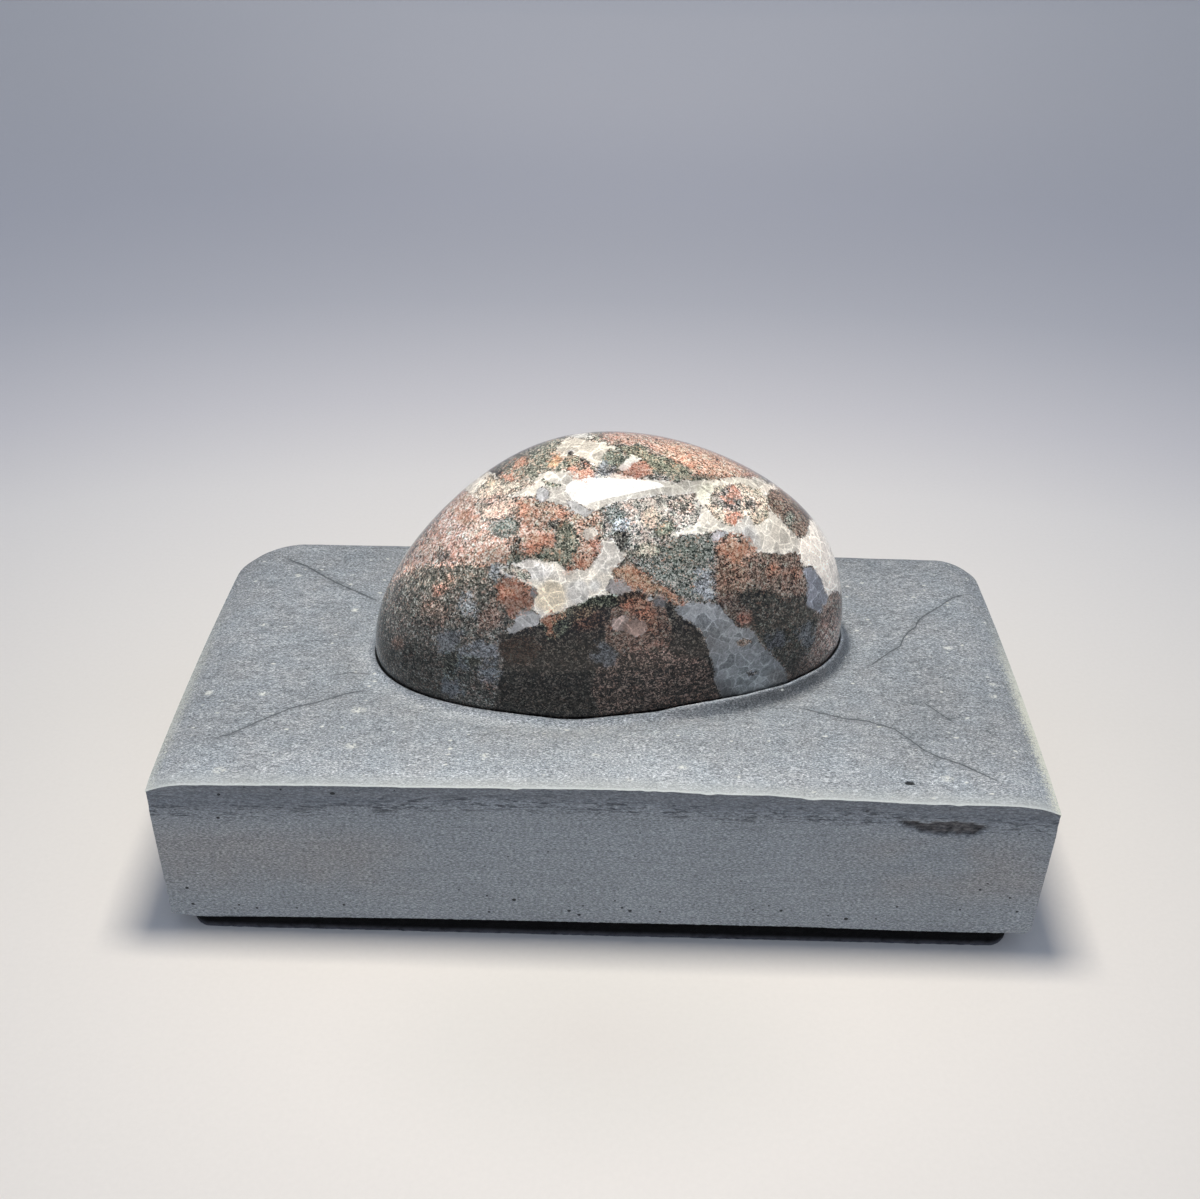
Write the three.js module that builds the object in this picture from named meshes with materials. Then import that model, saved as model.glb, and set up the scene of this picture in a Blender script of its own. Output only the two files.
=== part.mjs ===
// A polished puddingstone cobble, set by its lower third in a block of grey cast concrete
// that stands on a thin black felt pad.
//
// Millimetres, +Z up. +X runs along the block to its right and +Y to its back.
// The origin is the middle of the pad's underside, where the piece meets the table.

import * as THREE from 'three';

// ---- Driving dimensions: the concrete block ----
const BLOCK_LENGTH = 150; // along the sawn front face
const BLOCK_DEPTH = 77;
const BLOCK_HEIGHT = 30;
const END_BOW = 0.7; // each end stands this much fuller at its middle
const END_BOW_POWER = 5; // how closely that fullness keeps to the ends
const BACK_LEFT_RADIUS = 12; // plan corners; the front face meets the ends squarely
const BACK_RIGHT_RADIUS = 7.5;
const END_ROLL_WIDTH = 8.5; // the top rolls down gently towards the two ends
const END_ROLL_DROP = 1.6;
const END_ROLL_POWER = 2.5;
const BACK_ROUND_WIDTH = 3.5;
const BACK_ROUND_DROP = 2;
const CROWN_HEIGHT = 1.15; // the top swells along its middle
const CROWN_SPREAD = 32;
const END_SAG = 0.35;

// ---- Driving dimensions: the cement lip around the stone ----
const LIP_WIDTH = 0.9;
const LIP_LOW = 0.3;
const LIP_HIGH = 0.8;
const LIP_HIGH_AZIMUTH = -40; // degrees in plan from +X; the lip stands highest at the front right
const DIP_DEPTH = 1.2; // the top dips in front of the stone, a little left of its middle
const DIP_AZIMUTH = -103;
const DIP_SPREAD = 20; // degrees
const HOLLOW_REACH = 3.2; // a shallow trowelled hollow lies all round outside the lip
const HOLLOW_DEPTH = 0.25;
const SEAT_CLEARANCE = 0.35; // measured outwards from the stone's centre

// ---- Driving dimensions: the felt pad ----
const PAD_THICKNESS = 4;
const PAD_FRONT_INSET = 1;
const PAD_END_INSET = 2.5;
const PAD_CORNER_RADIUS = 8;

// ---- Driving dimensions: the cobble ----
const STONE_CENTRE_X = 0.4;
const STONE_CENTRE_Y = 4.5;
const STONE_CENTRE_RISE = 3.9; // of its widest level above the block's top
const STONE_LEFT = 43.6; // reaches from the centre to each side
const STONE_RIGHT = 43.5;
const STONE_FRONT = 23.8;
const STONE_BACK = 23.3;
const STONE_TOP = 38.3;
const STONE_BOTTOM = 31;
const STONE_FULLNESS = 2.1; // 2 is an ellipsoid, more is boxier
const STONE_TURN = 0.075; // its long axis goes back by this much per mm to the right
const FLAT_SPOT_DEPTH = 25.7; // of the small flat spot that it rests on, below the centre

// Broad faces that wear has flattened: direction in degrees and distance from the centre.
const WORN_FACES = [
  { azimuth: 192, elevation: 45, distance: 37 }, // the left shoulder
  { azimuth: 29, elevation: 60, distance: 42.1 }, // the right of the crown
  { azimuth: 0, elevation: -90, distance: 26.5 }, // the underside
];
const WORN_EDGE_SHARPNESS = 10;

// ---- Mesh resolution ----
const AZIMUTH_STEPS = 84;
const BURIED_RINGS = 7;
const SHOWN_RINGS = 18;
const TOP_RING_FRACTIONS = [0.4, 0.72, 0.87, 0.95]; // from the hollow out to the block's edge

const BLOCK_TOP = PAD_THICKNESS + BLOCK_HEIGHT;
const STONE_CENTRE_Z = BLOCK_TOP + STONE_CENTRE_RISE;
const HALF_LENGTH = BLOCK_LENGTH / 2;
const HALF_DEPTH = BLOCK_DEPTH / 2;

const radians = THREE.MathUtils.degToRad;
const lerp = THREE.MathUtils.lerp;

// ---- The cobble's form ----

function unitVector(azimuth, elevation) {
  return new THREE.Vector3(
    Math.cos(elevation) * Math.cos(azimuth),
    Math.cos(elevation) * Math.sin(azimuth),
    Math.sin(elevation),
  );
}

const wornFaces = WORN_FACES.map((face) => ({
  normal: unitVector(radians(face.azimuth), radians(face.elevation)),
  distance: face.distance,
}));

// Reach of the stone's surface from its centre: a full ellipsoid, softly cut by the worn faces.
function stoneReach(direction) {
  const lengthwise = direction.x / (direction.x < 0 ? STONE_LEFT : STONE_RIGHT);
  const depthwise = direction.y / (direction.y < 0 ? STONE_FRONT : STONE_BACK);
  const upward = direction.z / (direction.z < 0 ? STONE_BOTTOM : STONE_TOP);
  const sum = [lengthwise, depthwise, upward]
    .reduce((total, part) => total + Math.abs(part) ** STONE_FULLNESS, 0);
  let closeness = sum ** (WORN_EDGE_SHARPNESS / STONE_FULLNESS);
  for (const face of wornFaces) {
    const facing = Math.max(direction.dot(face.normal), 0);
    closeness += (facing / face.distance) ** WORN_EDGE_SHARPNESS;
  }
  return closeness ** (-1 / WORN_EDGE_SHARPNESS);
}

// Point of the stone's surface, or of one that lies `clearance` outside it. The direction is
// turned so that points of one plan azimuth stay in one upright plane through the centre.
function stonePoint(azimuth, elevation, clearance = 0) {
  const unturned = Math.atan2(
    Math.sin(azimuth) - STONE_TURN * Math.cos(azimuth),
    Math.cos(azimuth),
  );
  const direction = unitVector(unturned, elevation);
  const reach = stoneReach(direction) + clearance;
  const point = direction.multiplyScalar(reach);
  point.y += STONE_TURN * point.x;
  point.z = Math.max(point.z, -FLAT_SPOT_DEPTH - clearance);
  return point.add(new THREE.Vector3(STONE_CENTRE_X, STONE_CENTRE_Y, STONE_CENTRE_Z));
}

// ---- The block's form ----

// Distance from the stone's centre to the block's side along a plan direction.
function distanceToSide(azimuth) {
  const alongX = Math.cos(azimuth);
  const alongY = Math.sin(azimuth);
  const toEnd = HALF_LENGTH / Math.abs(alongX) - STONE_CENTRE_X / alongX;
  const toFace = HALF_DEPTH / Math.abs(alongY) - STONE_CENTRE_Y / alongY;
  const straight = Math.min(toEnd, toFace);
  const radius = alongX < 0 ? BACK_LEFT_RADIUS : BACK_RIGHT_RADIUS;
  const arcX = Math.sign(alongX) * (HALF_LENGTH - radius) - STONE_CENTRE_X;
  const arcY = HALF_DEPTH - radius - STONE_CENTRE_Y;
  const pastArcX = (straight * alongX - arcX) * Math.sign(alongX) > 0;
  const pastArcY = straight * alongY > arcY;
  if (!(pastArcX && pastArcY)) return straight;
  const along = alongX * arcX + alongY * arcY;
  const aside = alongX * arcY - alongY * arcX;
  return along + Math.sqrt(radius ** 2 - aside ** 2);
}

function endRollDrop(inset) {
  return END_ROLL_DROP * Math.max(0, 1 - inset / END_ROLL_WIDTH) ** END_ROLL_POWER;
}

function backRoundDrop(inset) {
  const share = THREE.MathUtils.clamp(1 - inset / BACK_ROUND_WIDTH, 0, 1);
  return BACK_ROUND_DROP * (1 - Math.sqrt(1 - share ** 2));
}

// Drop of the top's edge at a point: the ends' roll, the back's round, or a blend on their arc.
function edgeDrop(x, y) {
  const radius = x < 0 ? BACK_LEFT_RADIUS : BACK_RIGHT_RADIUS;
  const pastArcX = Math.abs(x) - (HALF_LENGTH - radius);
  const pastArcY = y - (HALF_DEPTH - radius);
  if (pastArcX > 0 && pastArcY > 0) {
    const fromArcCentre = Math.hypot(pastArcX, pastArcY);
    const inset = radius - fromArcCentre;
    const backShare = (pastArcY / fromArcCentre) ** 2;
    return lerp(endRollDrop(inset), backRoundDrop(inset), backShare);
  }
  return Math.max(endRollDrop(HALF_LENGTH - Math.abs(x)), backRoundDrop(HALF_DEPTH - y));
}

function topHeight(x, y) {
  const crown = CROWN_HEIGHT * Math.exp(-((x / CROWN_SPREAD) ** 2)) - END_SAG;
  return BLOCK_TOP + crown - edgeDrop(x, y);
}

// Height of the socket's rim over the rest of the top: the lip, less the dip in front.
function rimRise(azimuth) {
  const fromLip = azimuth - radians(LIP_HIGH_AZIMUTH);
  const lip = lerp(LIP_LOW, LIP_HIGH, (1 + Math.cos(fromLip)) / 2);
  const fromDip = azimuth - radians(DIP_AZIMUTH);
  const dip = DIP_DEPTH * Math.exp(-((fromDip / radians(DIP_SPREAD)) ** 2));
  return lip - dip;
}

// Elevation, seen from the stone's centre, at which the socket's rim meets the stone: found
// by halving the range it lies in.
const LOWEST_RIM = radians(-60);
const HIGHEST_RIM = radians(20);
const RIM_TOLERANCE = 1e-7;

function rimElevation(azimuth) {
  let low = LOWEST_RIM;
  let high = HIGHEST_RIM;
  while (high - low > RIM_TOLERANCE) {
    const middle = (low + high) / 2;
    const point = stonePoint(azimuth, middle);
    if (point.z < topHeight(point.x, point.y) + rimRise(azimuth)) low = middle;
    else high = middle;
  }
  return low;
}

// Fuller ends: moves a point outwards, most at the middle of each end.
function bowEnds(point) {
  const nearness = (point.x / HALF_LENGTH) ** END_BOW_POWER;
  point.x += END_BOW * nearness * (1 - (point.y / HALF_DEPTH) ** 2);
  return point;
}

// ---- Directions that every ring shares, closer together at the stone's narrow ends ----

function planAzimuths() {
  const azimuths = [];
  for (let step = 0; step < AZIMUTH_STEPS; step += 1) {
    const turn = (2 * Math.PI * (step + 0.5)) / AZIMUTH_STEPS; // none lies along an axis
    azimuths.push(Math.atan2(BLOCK_DEPTH * Math.sin(turn), BLOCK_LENGTH * Math.cos(turn)));
  }
  // The nearest direction moves onto each square front corner.
  for (const side of [-1, 1]) {
    const corner = Math.atan2(-HALF_DEPTH - STONE_CENTRE_Y, side * HALF_LENGTH - STONE_CENTRE_X);
    const offsets = azimuths.map((azimuth) => Math.abs(azimuth - corner));
    azimuths[offsets.indexOf(Math.min(...offsets))] = corner;
  }
  return azimuths;
}

const azimuths = planAzimuths();

// One closed surface from a bottom point, through rings that run anticlockwise seen from
// above, to a top point.
function closedSurface(bottomPoint, rings, topPoint) {
  const size = azimuths.length;
  const points = [bottomPoint, ...rings.flat(), topPoint];
  const last = points.length - 1;
  const triangles = [];
  for (let step = 0; step < size; step += 1) {
    const next = (step + 1) % size;
    triangles.push(0, 1 + next, 1 + step);
    for (let ring = 0; ring < rings.length - 1; ring += 1) {
      const lower = 1 + ring * size;
      const upper = lower + size;
      triangles.push(lower + step, lower + next, upper + next);
      triangles.push(lower + step, upper + next, upper + step);
    }
    const top = 1 + (rings.length - 1) * size;
    triangles.push(top + step, top + next, last);
  }
  const geometry = new THREE.BufferGeometry().setFromPoints(points);
  geometry.setIndex(triangles);
  geometry.computeVertexNormals();
  return geometry;
}

const STRAIGHT_DOWN = radians(-90);
const STRAIGHT_UP = radians(90);

// Elevation of the buried ring `ring`, from just off the flat spot up to the socket's rim.
function buriedElevation(azimuth, ring) {
  return lerp(STRAIGHT_DOWN, rimElevation(azimuth), ring / BURIED_RINGS);
}

function stoneGeometry() {
  const rings = [];
  for (let ring = 1; ring <= BURIED_RINGS; ring += 1) {
    rings.push(azimuths.map((azimuth) => stonePoint(azimuth, buriedElevation(azimuth, ring))));
  }
  for (let ring = 1; ring < SHOWN_RINGS; ring += 1) {
    rings.push(azimuths.map((azimuth) => {
      const elevation = lerp(rimElevation(azimuth), STRAIGHT_UP, ring / SHOWN_RINGS);
      return stonePoint(azimuth, elevation);
    }));
  }
  return closedSurface(stonePoint(0, STRAIGHT_DOWN), rings, stonePoint(0, STRAIGHT_UP));
}

// A ring of the block's top, at a plan distance from the stone's centre in each direction.
function topRing(distanceAt, riseAt) {
  return azimuths.map((azimuth) => {
    const distance = distanceAt(azimuth);
    const x = STONE_CENTRE_X + distance * Math.cos(azimuth);
    const y = STONE_CENTRE_Y + distance * Math.sin(azimuth);
    return bowEnds(new THREE.Vector3(x, y, topHeight(x, y) + riseAt(azimuth)));
  });
}

// Plan distance from the stone's centre to the rim of its socket.
function socketRim(azimuth) {
  const point = stonePoint(azimuth, rimElevation(azimuth), SEAT_CLEARANCE);
  return Math.hypot(point.x - STONE_CENTRE_X, point.y - STONE_CENTRE_Y);
}

function blockGeometry() {
  const lipFoot = (azimuth) => socketRim(azimuth) + LIP_WIDTH;
  const hollow = (azimuth) => socketRim(azimuth) + HOLLOW_REACH;
  const flush = () => 0;
  const underEdge = topRing(distanceToSide, flush);
  underEdge.forEach((point) => point.setZ(PAD_THICKNESS));

  const rings = [underEdge, topRing(distanceToSide, flush)];
  for (const fraction of [...TOP_RING_FRACTIONS].reverse()) {
    const between = (azimuth) => lerp(hollow(azimuth), distanceToSide(azimuth), fraction);
    rings.push(topRing(between, flush));
  }
  rings.push(topRing(hollow, (azimuth) => Math.min(rimRise(azimuth) / 2, 0) - HOLLOW_DEPTH));
  rings.push(topRing(lipFoot, (azimuth) => Math.min(rimRise(azimuth), LIP_LOW)));
  for (let ring = BURIED_RINGS; ring >= 1; ring -= 1) {
    rings.push(azimuths.map((azimuth) => (
      stonePoint(azimuth, buriedElevation(azimuth, ring), SEAT_CLEARANCE)
    )));
  }
  const underside = new THREE.Vector3(STONE_CENTRE_X, STONE_CENTRE_Y, PAD_THICKNESS);
  return closedSurface(underside, rings, stonePoint(0, STRAIGHT_DOWN, SEAT_CLEARANCE));
}

// ---- The pad's form ----

function padGeometry() {
  const halfLength = HALF_LENGTH - PAD_END_INSET;
  const halfDepth = HALF_DEPTH - PAD_FRONT_INSET;
  const arcX = halfLength - PAD_CORNER_RADIUS;
  const arcY = halfDepth - PAD_CORNER_RADIUS;
  const outline = new THREE.Shape();
  outline.absarc(arcX, arcY, PAD_CORNER_RADIUS, 0, radians(90));
  outline.absarc(-arcX, arcY, PAD_CORNER_RADIUS, radians(90), radians(180));
  outline.absarc(-arcX, -arcY, PAD_CORNER_RADIUS, radians(180), radians(270));
  outline.absarc(arcX, -arcY, PAD_CORNER_RADIUS, radians(270), radians(360));
  outline.closePath();
  return new THREE.ExtrudeGeometry(outline, {
    depth: PAD_THICKNESS,
    bevelEnabled: false,
    curveSegments: 8,
  });
}

// ---- The assembly ----

function namedMesh(name, geometry, color, roughness) {
  const material = new THREE.MeshStandardMaterial({ color, roughness, metalness: 0 });
  const mesh = new THREE.Mesh(geometry, material);
  mesh.name = name;
  return mesh;
}

const puddingstone = new THREE.Group();
puddingstone.add(namedMesh('cobble', stoneGeometry(), 0xa08a7c, 0.2));
puddingstone.add(namedMesh('concrete_block', blockGeometry(), 0x9aa0a4, 0.85));
puddingstone.add(namedMesh('felt_pad', padGeometry(), 0x111214, 1));

export default puddingstone;
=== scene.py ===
import math

import bpy
import numpy as np
from mathutils import Matrix, Vector, noise


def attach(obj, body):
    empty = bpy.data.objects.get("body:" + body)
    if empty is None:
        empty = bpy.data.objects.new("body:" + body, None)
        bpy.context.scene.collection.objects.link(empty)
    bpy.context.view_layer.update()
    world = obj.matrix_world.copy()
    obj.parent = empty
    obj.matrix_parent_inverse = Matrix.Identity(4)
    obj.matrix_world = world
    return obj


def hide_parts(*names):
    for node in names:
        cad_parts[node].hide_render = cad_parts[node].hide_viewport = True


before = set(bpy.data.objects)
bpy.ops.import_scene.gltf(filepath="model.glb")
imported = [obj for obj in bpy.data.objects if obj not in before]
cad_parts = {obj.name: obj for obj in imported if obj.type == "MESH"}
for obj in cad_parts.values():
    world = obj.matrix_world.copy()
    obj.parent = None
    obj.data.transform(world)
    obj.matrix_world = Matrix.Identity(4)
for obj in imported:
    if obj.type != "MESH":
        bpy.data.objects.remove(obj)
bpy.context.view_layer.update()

# A polished puddingstone cobble set in a block of cast concrete on a black felt pad.
# The row frame: +X right, +Y back, +Z up, origin under the middle of the pad. Shapes are
# worked out in millimetres and turned to metres where a mesh is made.
MM = 0.001
FAR_OFF = 1e9


# ---- small helpers

def smoothstep(low, high, value):
    share = np.clip((value - low) / (high - low), 0, 1)
    return share * share * (3 - 2 * share)


def plateau(value, start, full, fading, end):
    """A share that rises from `start` to `full` and falls from `fading` to `end`."""
    return smoothstep(start, full, value) * (1 - smoothstep(fading, end, value))


def mix(first, second, share):
    return first + (second - first) * share


def unit(azimuth, elevation):
    """Unit vectors of azimuths and elevations in radians, in the last axis."""
    return np.stack([
        np.cos(elevation) * np.cos(azimuth),
        np.cos(elevation) * np.sin(azimuth),
        np.sin(elevation) + 0 * azimuth,
    ], axis=-1)


def noise_at(points, size, seed):
    """Smooth noise from about -1 to 1, with lumps of `size` millimetres, at each point."""
    shifted = np.asarray(points, float) / size + seed
    return np.array([noise.noise(place) for place in shifted.reshape(-1, 3).tolist()]).reshape(
        shifted.shape[:-1])


def noise_vectors(points, size, seeds):
    """A noise value for each of the seeds, in the last axis."""
    return np.stack([noise_at(points, size, seed) for seed in seeds], axis=-1)


def outline_distance(places, corners):
    """Distance inside a closed outline in a plane; negative outside."""
    nearest = np.full(len(places), FAR_OFF)
    inside = np.zeros(len(places), bool)
    for start, end in zip(corners, np.roll(corners, -1, axis=0)):
        side = end - start
        share = np.clip(((places - start) @ side) / (side @ side), 0, 1)
        gap = np.linalg.norm(places - start - share[:, None] * side, axis=1)
        nearest = np.minimum(nearest, gap)
        spans = (start[1] > places[:, 1]) != (end[1] > places[:, 1])
        crossing = start[0] + (places[:, 1] - start[1]) / (side[1] or 1e-9) * side[0]
        inside ^= spans & (places[:, 0] < crossing)
    return np.where(inside, nearest, -nearest)


def linear(colour):
    """An sRGB colour of 0-255 values as a linear RGBA colour."""
    curve = [part / 12.92 if part <= 0.04045 else ((part + 0.055) / 1.055) ** 2.4
             for part in (part / 255 for part in colour)]
    return (*curve, 1.0)


# ---- camera

CAMERA_PLACE = np.array([1.489, -207.408, 185.079])
CAMERA_PITCH = 0.58993  # radians below level
CAMERA_YAW = -0.01372
CAMERA_ROLL = 0.01805
FOCAL_PIXELS = 1380.42
PICTURE_WIDTH = 1200
PICTURE_HEIGHT = 1199
SENSOR_WIDTH = 36.0

camera_forward = np.array([
    math.sin(CAMERA_YAW) * math.cos(CAMERA_PITCH),
    math.cos(CAMERA_YAW) * math.cos(CAMERA_PITCH),
    -math.sin(CAMERA_PITCH),
])
level_right = np.array([math.cos(CAMERA_YAW), -math.sin(CAMERA_YAW), 0])
level_up = np.cross(level_right, camera_forward)
camera_right = math.cos(CAMERA_ROLL) * level_right + math.sin(CAMERA_ROLL) * level_up
camera_up = math.cos(CAMERA_ROLL) * level_up - math.sin(CAMERA_ROLL) * level_right


def picture_place(points):
    """Where points in millimetres fall in the 1200 x 1199 picture."""
    away = points - CAMERA_PLACE
    depth = away @ camera_forward
    across = PICTURE_WIDTH / 2 + FOCAL_PIXELS * (away @ camera_right) / depth
    down = PICTURE_HEIGHT / 2 - FOCAL_PIXELS * (away @ camera_up) / depth
    return np.stack([across, down], axis=-1)


def on_plane(pixels, axis, level):
    """The points of the plane `axis` = `level` that are seen at these pixels."""
    pixels = np.asarray(pixels, float)
    across = (pixels[..., 0] - PICTURE_WIDTH / 2) / FOCAL_PIXELS
    upward = (PICTURE_HEIGHT / 2 - pixels[..., 1]) / FOCAL_PIXELS
    ray = camera_forward + across[..., None] * camera_right + upward[..., None] * camera_up
    reach = (level - CAMERA_PLACE[axis]) / ray[..., axis]
    return CAMERA_PLACE + reach[..., None] * ray


def add_camera():
    data = bpy.data.cameras.new("camera")
    data.sensor_width = SENSOR_WIDTH
    data.lens = FOCAL_PIXELS * SENSOR_WIDTH / PICTURE_WIDTH
    data.clip_start = 0.01
    data.clip_end = 20
    camera = bpy.data.objects.new("camera", data)
    turn = Matrix([camera_right, camera_up, -camera_forward]).transposed().to_4x4()
    camera.matrix_world = Matrix.Translation(Vector(CAMERA_PLACE * MM)) @ turn
    bpy.context.scene.collection.objects.link(camera)
    bpy.context.scene.camera = camera


# ---- meshes

def make_piece(name, points, faces, material, smooth=True):
    mesh = bpy.data.meshes.new(name)
    mesh.from_pydata((np.asarray(points) * MM).tolist(), [], faces)
    mesh.polygons.foreach_set("use_smooth", [smooth] * len(mesh.polygons))
    mesh.materials.append(material)
    mesh.update()
    piece = bpy.data.objects.new(name, mesh)
    bpy.context.scene.collection.objects.link(piece)
    return piece


def set_attribute(piece, name, values):
    attribute = piece.data.attributes.new(name, "FLOAT", "POINT")
    attribute.data.foreach_set("value", np.asarray(values, np.float32).ravel())


def set_colour_attribute(piece, name, colours):
    attribute = piece.data.attributes.new(name, "FLOAT_COLOR", "POINT")
    opaque = np.concatenate([colours, np.ones((len(colours), 1))], axis=1)
    attribute.data.foreach_set("color", np.asarray(opaque, np.float32).ravel())


def ring_faces(rings, steps):
    """Faces of a closed surface: a bottom point, rings of `steps` points each, a top point."""
    faces = []
    for step in range(steps):
        following = (step + 1) % steps
        faces.append((0, 1 + following, 1 + step))
        for ring in range(rings - 1):
            lower = 1 + ring * steps
            upper = lower + steps
            faces.append((lower + step, lower + following, upper + following, upper + step))
        top = 1 + (rings - 1) * steps
        faces.append((top + step, top + following, 1 + rings * steps))
    return faces


# ---- the cobble's form

PAD_THICKNESS = 4
BLOCK_HEIGHT = 30
BLOCK_TOP = PAD_THICKNESS + BLOCK_HEIGHT
STONE_CENTRE = np.array([0.4, 4.5, BLOCK_TOP + 3.9])
STONE_LEFT = 43.6
STONE_RIGHT = 43.5
STONE_FRONT = 23.8
STONE_BACK = 23.3
STONE_TOP = 38.3
STONE_BOTTOM = 31
STONE_FULLNESS = 2.1
STONE_TURN = 0.075
FLAT_SPOT_DEPTH = 25.7
WORN_FACES = [(192, 45, 37), (29, 60, 42.1), (0, -90, 26.5)]  # azimuth, elevation, distance
WORN_EDGE_SHARPNESS = 10


def stone_reach(direction):
    x, y, z = direction[..., 0], direction[..., 1], direction[..., 2]
    lengthwise = np.abs(x) / np.where(x < 0, STONE_LEFT, STONE_RIGHT)
    depthwise = np.abs(y) / np.where(y < 0, STONE_FRONT, STONE_BACK)
    upward = np.abs(z) / np.where(z < 0, STONE_BOTTOM, STONE_TOP)
    total = lengthwise ** STONE_FULLNESS + depthwise ** STONE_FULLNESS + upward ** STONE_FULLNESS
    closeness = total ** (WORN_EDGE_SHARPNESS / STONE_FULLNESS)
    for azimuth, elevation, distance in WORN_FACES:
        facing = np.maximum(direction @ unit(math.radians(azimuth), math.radians(elevation)), 0)
        closeness = closeness + (facing / distance) ** WORN_EDGE_SHARPNESS
    return closeness ** (-1 / WORN_EDGE_SHARPNESS)


def stone_points(azimuth, elevation, clearance=0.0):
    """The stone's surface, or one `clearance` outside it, at plan azimuths and elevations."""
    azimuth, elevation = np.broadcast_arrays(azimuth, elevation)
    unturned = np.arctan2(np.sin(azimuth) - STONE_TURN * np.cos(azimuth), np.cos(azimuth))
    direction = unit(unturned, elevation)
    points = direction * (stone_reach(direction) + clearance)[..., None]
    points[..., 1] += STONE_TURN * points[..., 0]
    points[..., 2] = np.maximum(points[..., 2], -FLAT_SPOT_DEPTH - clearance)
    return points + STONE_CENTRE


# ---- the block's form

BLOCK_LENGTH = 150
BLOCK_DEPTH = 77
END_BOW = 0.7
END_BOW_POWER = 5
BACK_LEFT_RADIUS = 12
BACK_RIGHT_RADIUS = 7.5
END_ROLL_WIDTH = 8.5
END_ROLL_DROP = 1.6
END_ROLL_POWER = 2.5
BACK_ROUND_WIDTH = 3.5
BACK_ROUND_DROP = 2
CROWN_HEIGHT = 1.15
CROWN_SPREAD = 32
END_SAG = 0.35
LIP_LOW = 0.3
LIP_HIGH = 0.8
LIP_HIGH_AZIMUTH = math.radians(-40)
LIP_SWELL = 1.15  # the lip's extra height on the right
LIP_SWELL_AZIMUTHS = [math.radians(turn) for turn in (-72, -50, 15, 50)]  # start to end
DIP_DEPTH = 1.2
DIP_AZIMUTH = math.radians(-103)
DIP_SPREAD = math.radians(20)
HOLLOW_DEPTH = 0.25
SEAT_CLEARANCE = 0.28  # the hairline gap between the stone and its socket
HALF_LENGTH = BLOCK_LENGTH / 2
HALF_DEPTH = BLOCK_DEPTH / 2


def corner_radius(x):
    return np.where(x < 0, BACK_LEFT_RADIUS, BACK_RIGHT_RADIUS)


def distance_to_side(azimuth):
    """Plan distance from the stone's centre to the block's side."""
    along_x = np.cos(azimuth)
    along_y = np.sin(azimuth)
    to_end = HALF_LENGTH / np.abs(along_x) - STONE_CENTRE[0] / along_x
    to_face = HALF_DEPTH / np.abs(along_y) - STONE_CENTRE[1] / along_y
    straight = np.minimum(to_end, to_face)
    radius = corner_radius(along_x)
    arc_x = np.sign(along_x) * (HALF_LENGTH - radius) - STONE_CENTRE[0]
    arc_y = HALF_DEPTH - radius - STONE_CENTRE[1]
    past_x = (straight * along_x - arc_x) * np.sign(along_x) > 0
    past_y = straight * along_y > arc_y
    along = along_x * arc_x + along_y * arc_y
    aside = along_x * arc_y - along_y * arc_x
    on_arc = along + np.sqrt(np.maximum(radius ** 2 - aside ** 2, 0))
    return np.where(past_x & past_y, on_arc, straight)


def end_roll_drop(inset):
    return END_ROLL_DROP * np.maximum(0, 1 - inset / END_ROLL_WIDTH) ** END_ROLL_POWER


def back_round_drop(inset):
    share = np.clip(1 - inset / BACK_ROUND_WIDTH, 0, 1)
    return BACK_ROUND_DROP * (1 - np.sqrt(1 - share ** 2))


def edge_drop(x, y):
    radius = corner_radius(x)
    past_x = np.abs(x) - (HALF_LENGTH - radius)
    past_y = y - (HALF_DEPTH - radius)
    from_arc = np.maximum(np.hypot(past_x, past_y), 1e-9)
    inset = radius - from_arc
    on_arc = mix(end_roll_drop(inset), back_round_drop(inset), (past_y / from_arc) ** 2)
    beside = np.maximum(end_roll_drop(HALF_LENGTH - np.abs(x)), back_round_drop(HALF_DEPTH - y))
    return np.where((past_x > 0) & (past_y > 0), on_arc, beside)


def top_height(x, y):
    crown = CROWN_HEIGHT * np.exp(-((x / CROWN_SPREAD) ** 2)) - END_SAG
    return BLOCK_TOP + crown - edge_drop(x, y)


def lip_height(azimuth):
    swell = LIP_SWELL * plateau(azimuth, *LIP_SWELL_AZIMUTHS)
    return mix(LIP_LOW, LIP_HIGH, (1 + np.cos(azimuth - LIP_HIGH_AZIMUTH)) / 2) + swell


def front_dip(azimuth):
    return DIP_DEPTH * np.exp(-(((azimuth - DIP_AZIMUTH) / DIP_SPREAD) ** 2))


def rim_rise(azimuth):
    """Height of the socket's rim over the top: the lip, less the dip in front."""
    return lip_height(azimuth) - front_dip(azimuth)


RIM_HALVINGS = 30


def rim_elevation(azimuth):
    """Elevation at which the socket's rim meets the stone, by halving its range."""
    low = np.full(azimuth.shape, math.radians(-60))
    high = np.full(azimuth.shape, math.radians(20))
    for _ in range(RIM_HALVINGS):
        middle = (low + high) / 2
        point = stone_points(azimuth, middle)
        under = point[..., 2] < top_height(point[..., 0], point[..., 1]) + rim_rise(azimuth)
        low = np.where(under, middle, low)
        high = np.where(under, high, middle)
    return low


def bow_ends(points):
    nearness = (points[..., 0] / HALF_LENGTH) ** END_BOW_POWER
    points[..., 0] += END_BOW * nearness * (1 - (points[..., 1] / HALF_DEPTH) ** 2)
    return points


# ---- node graphs

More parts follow.
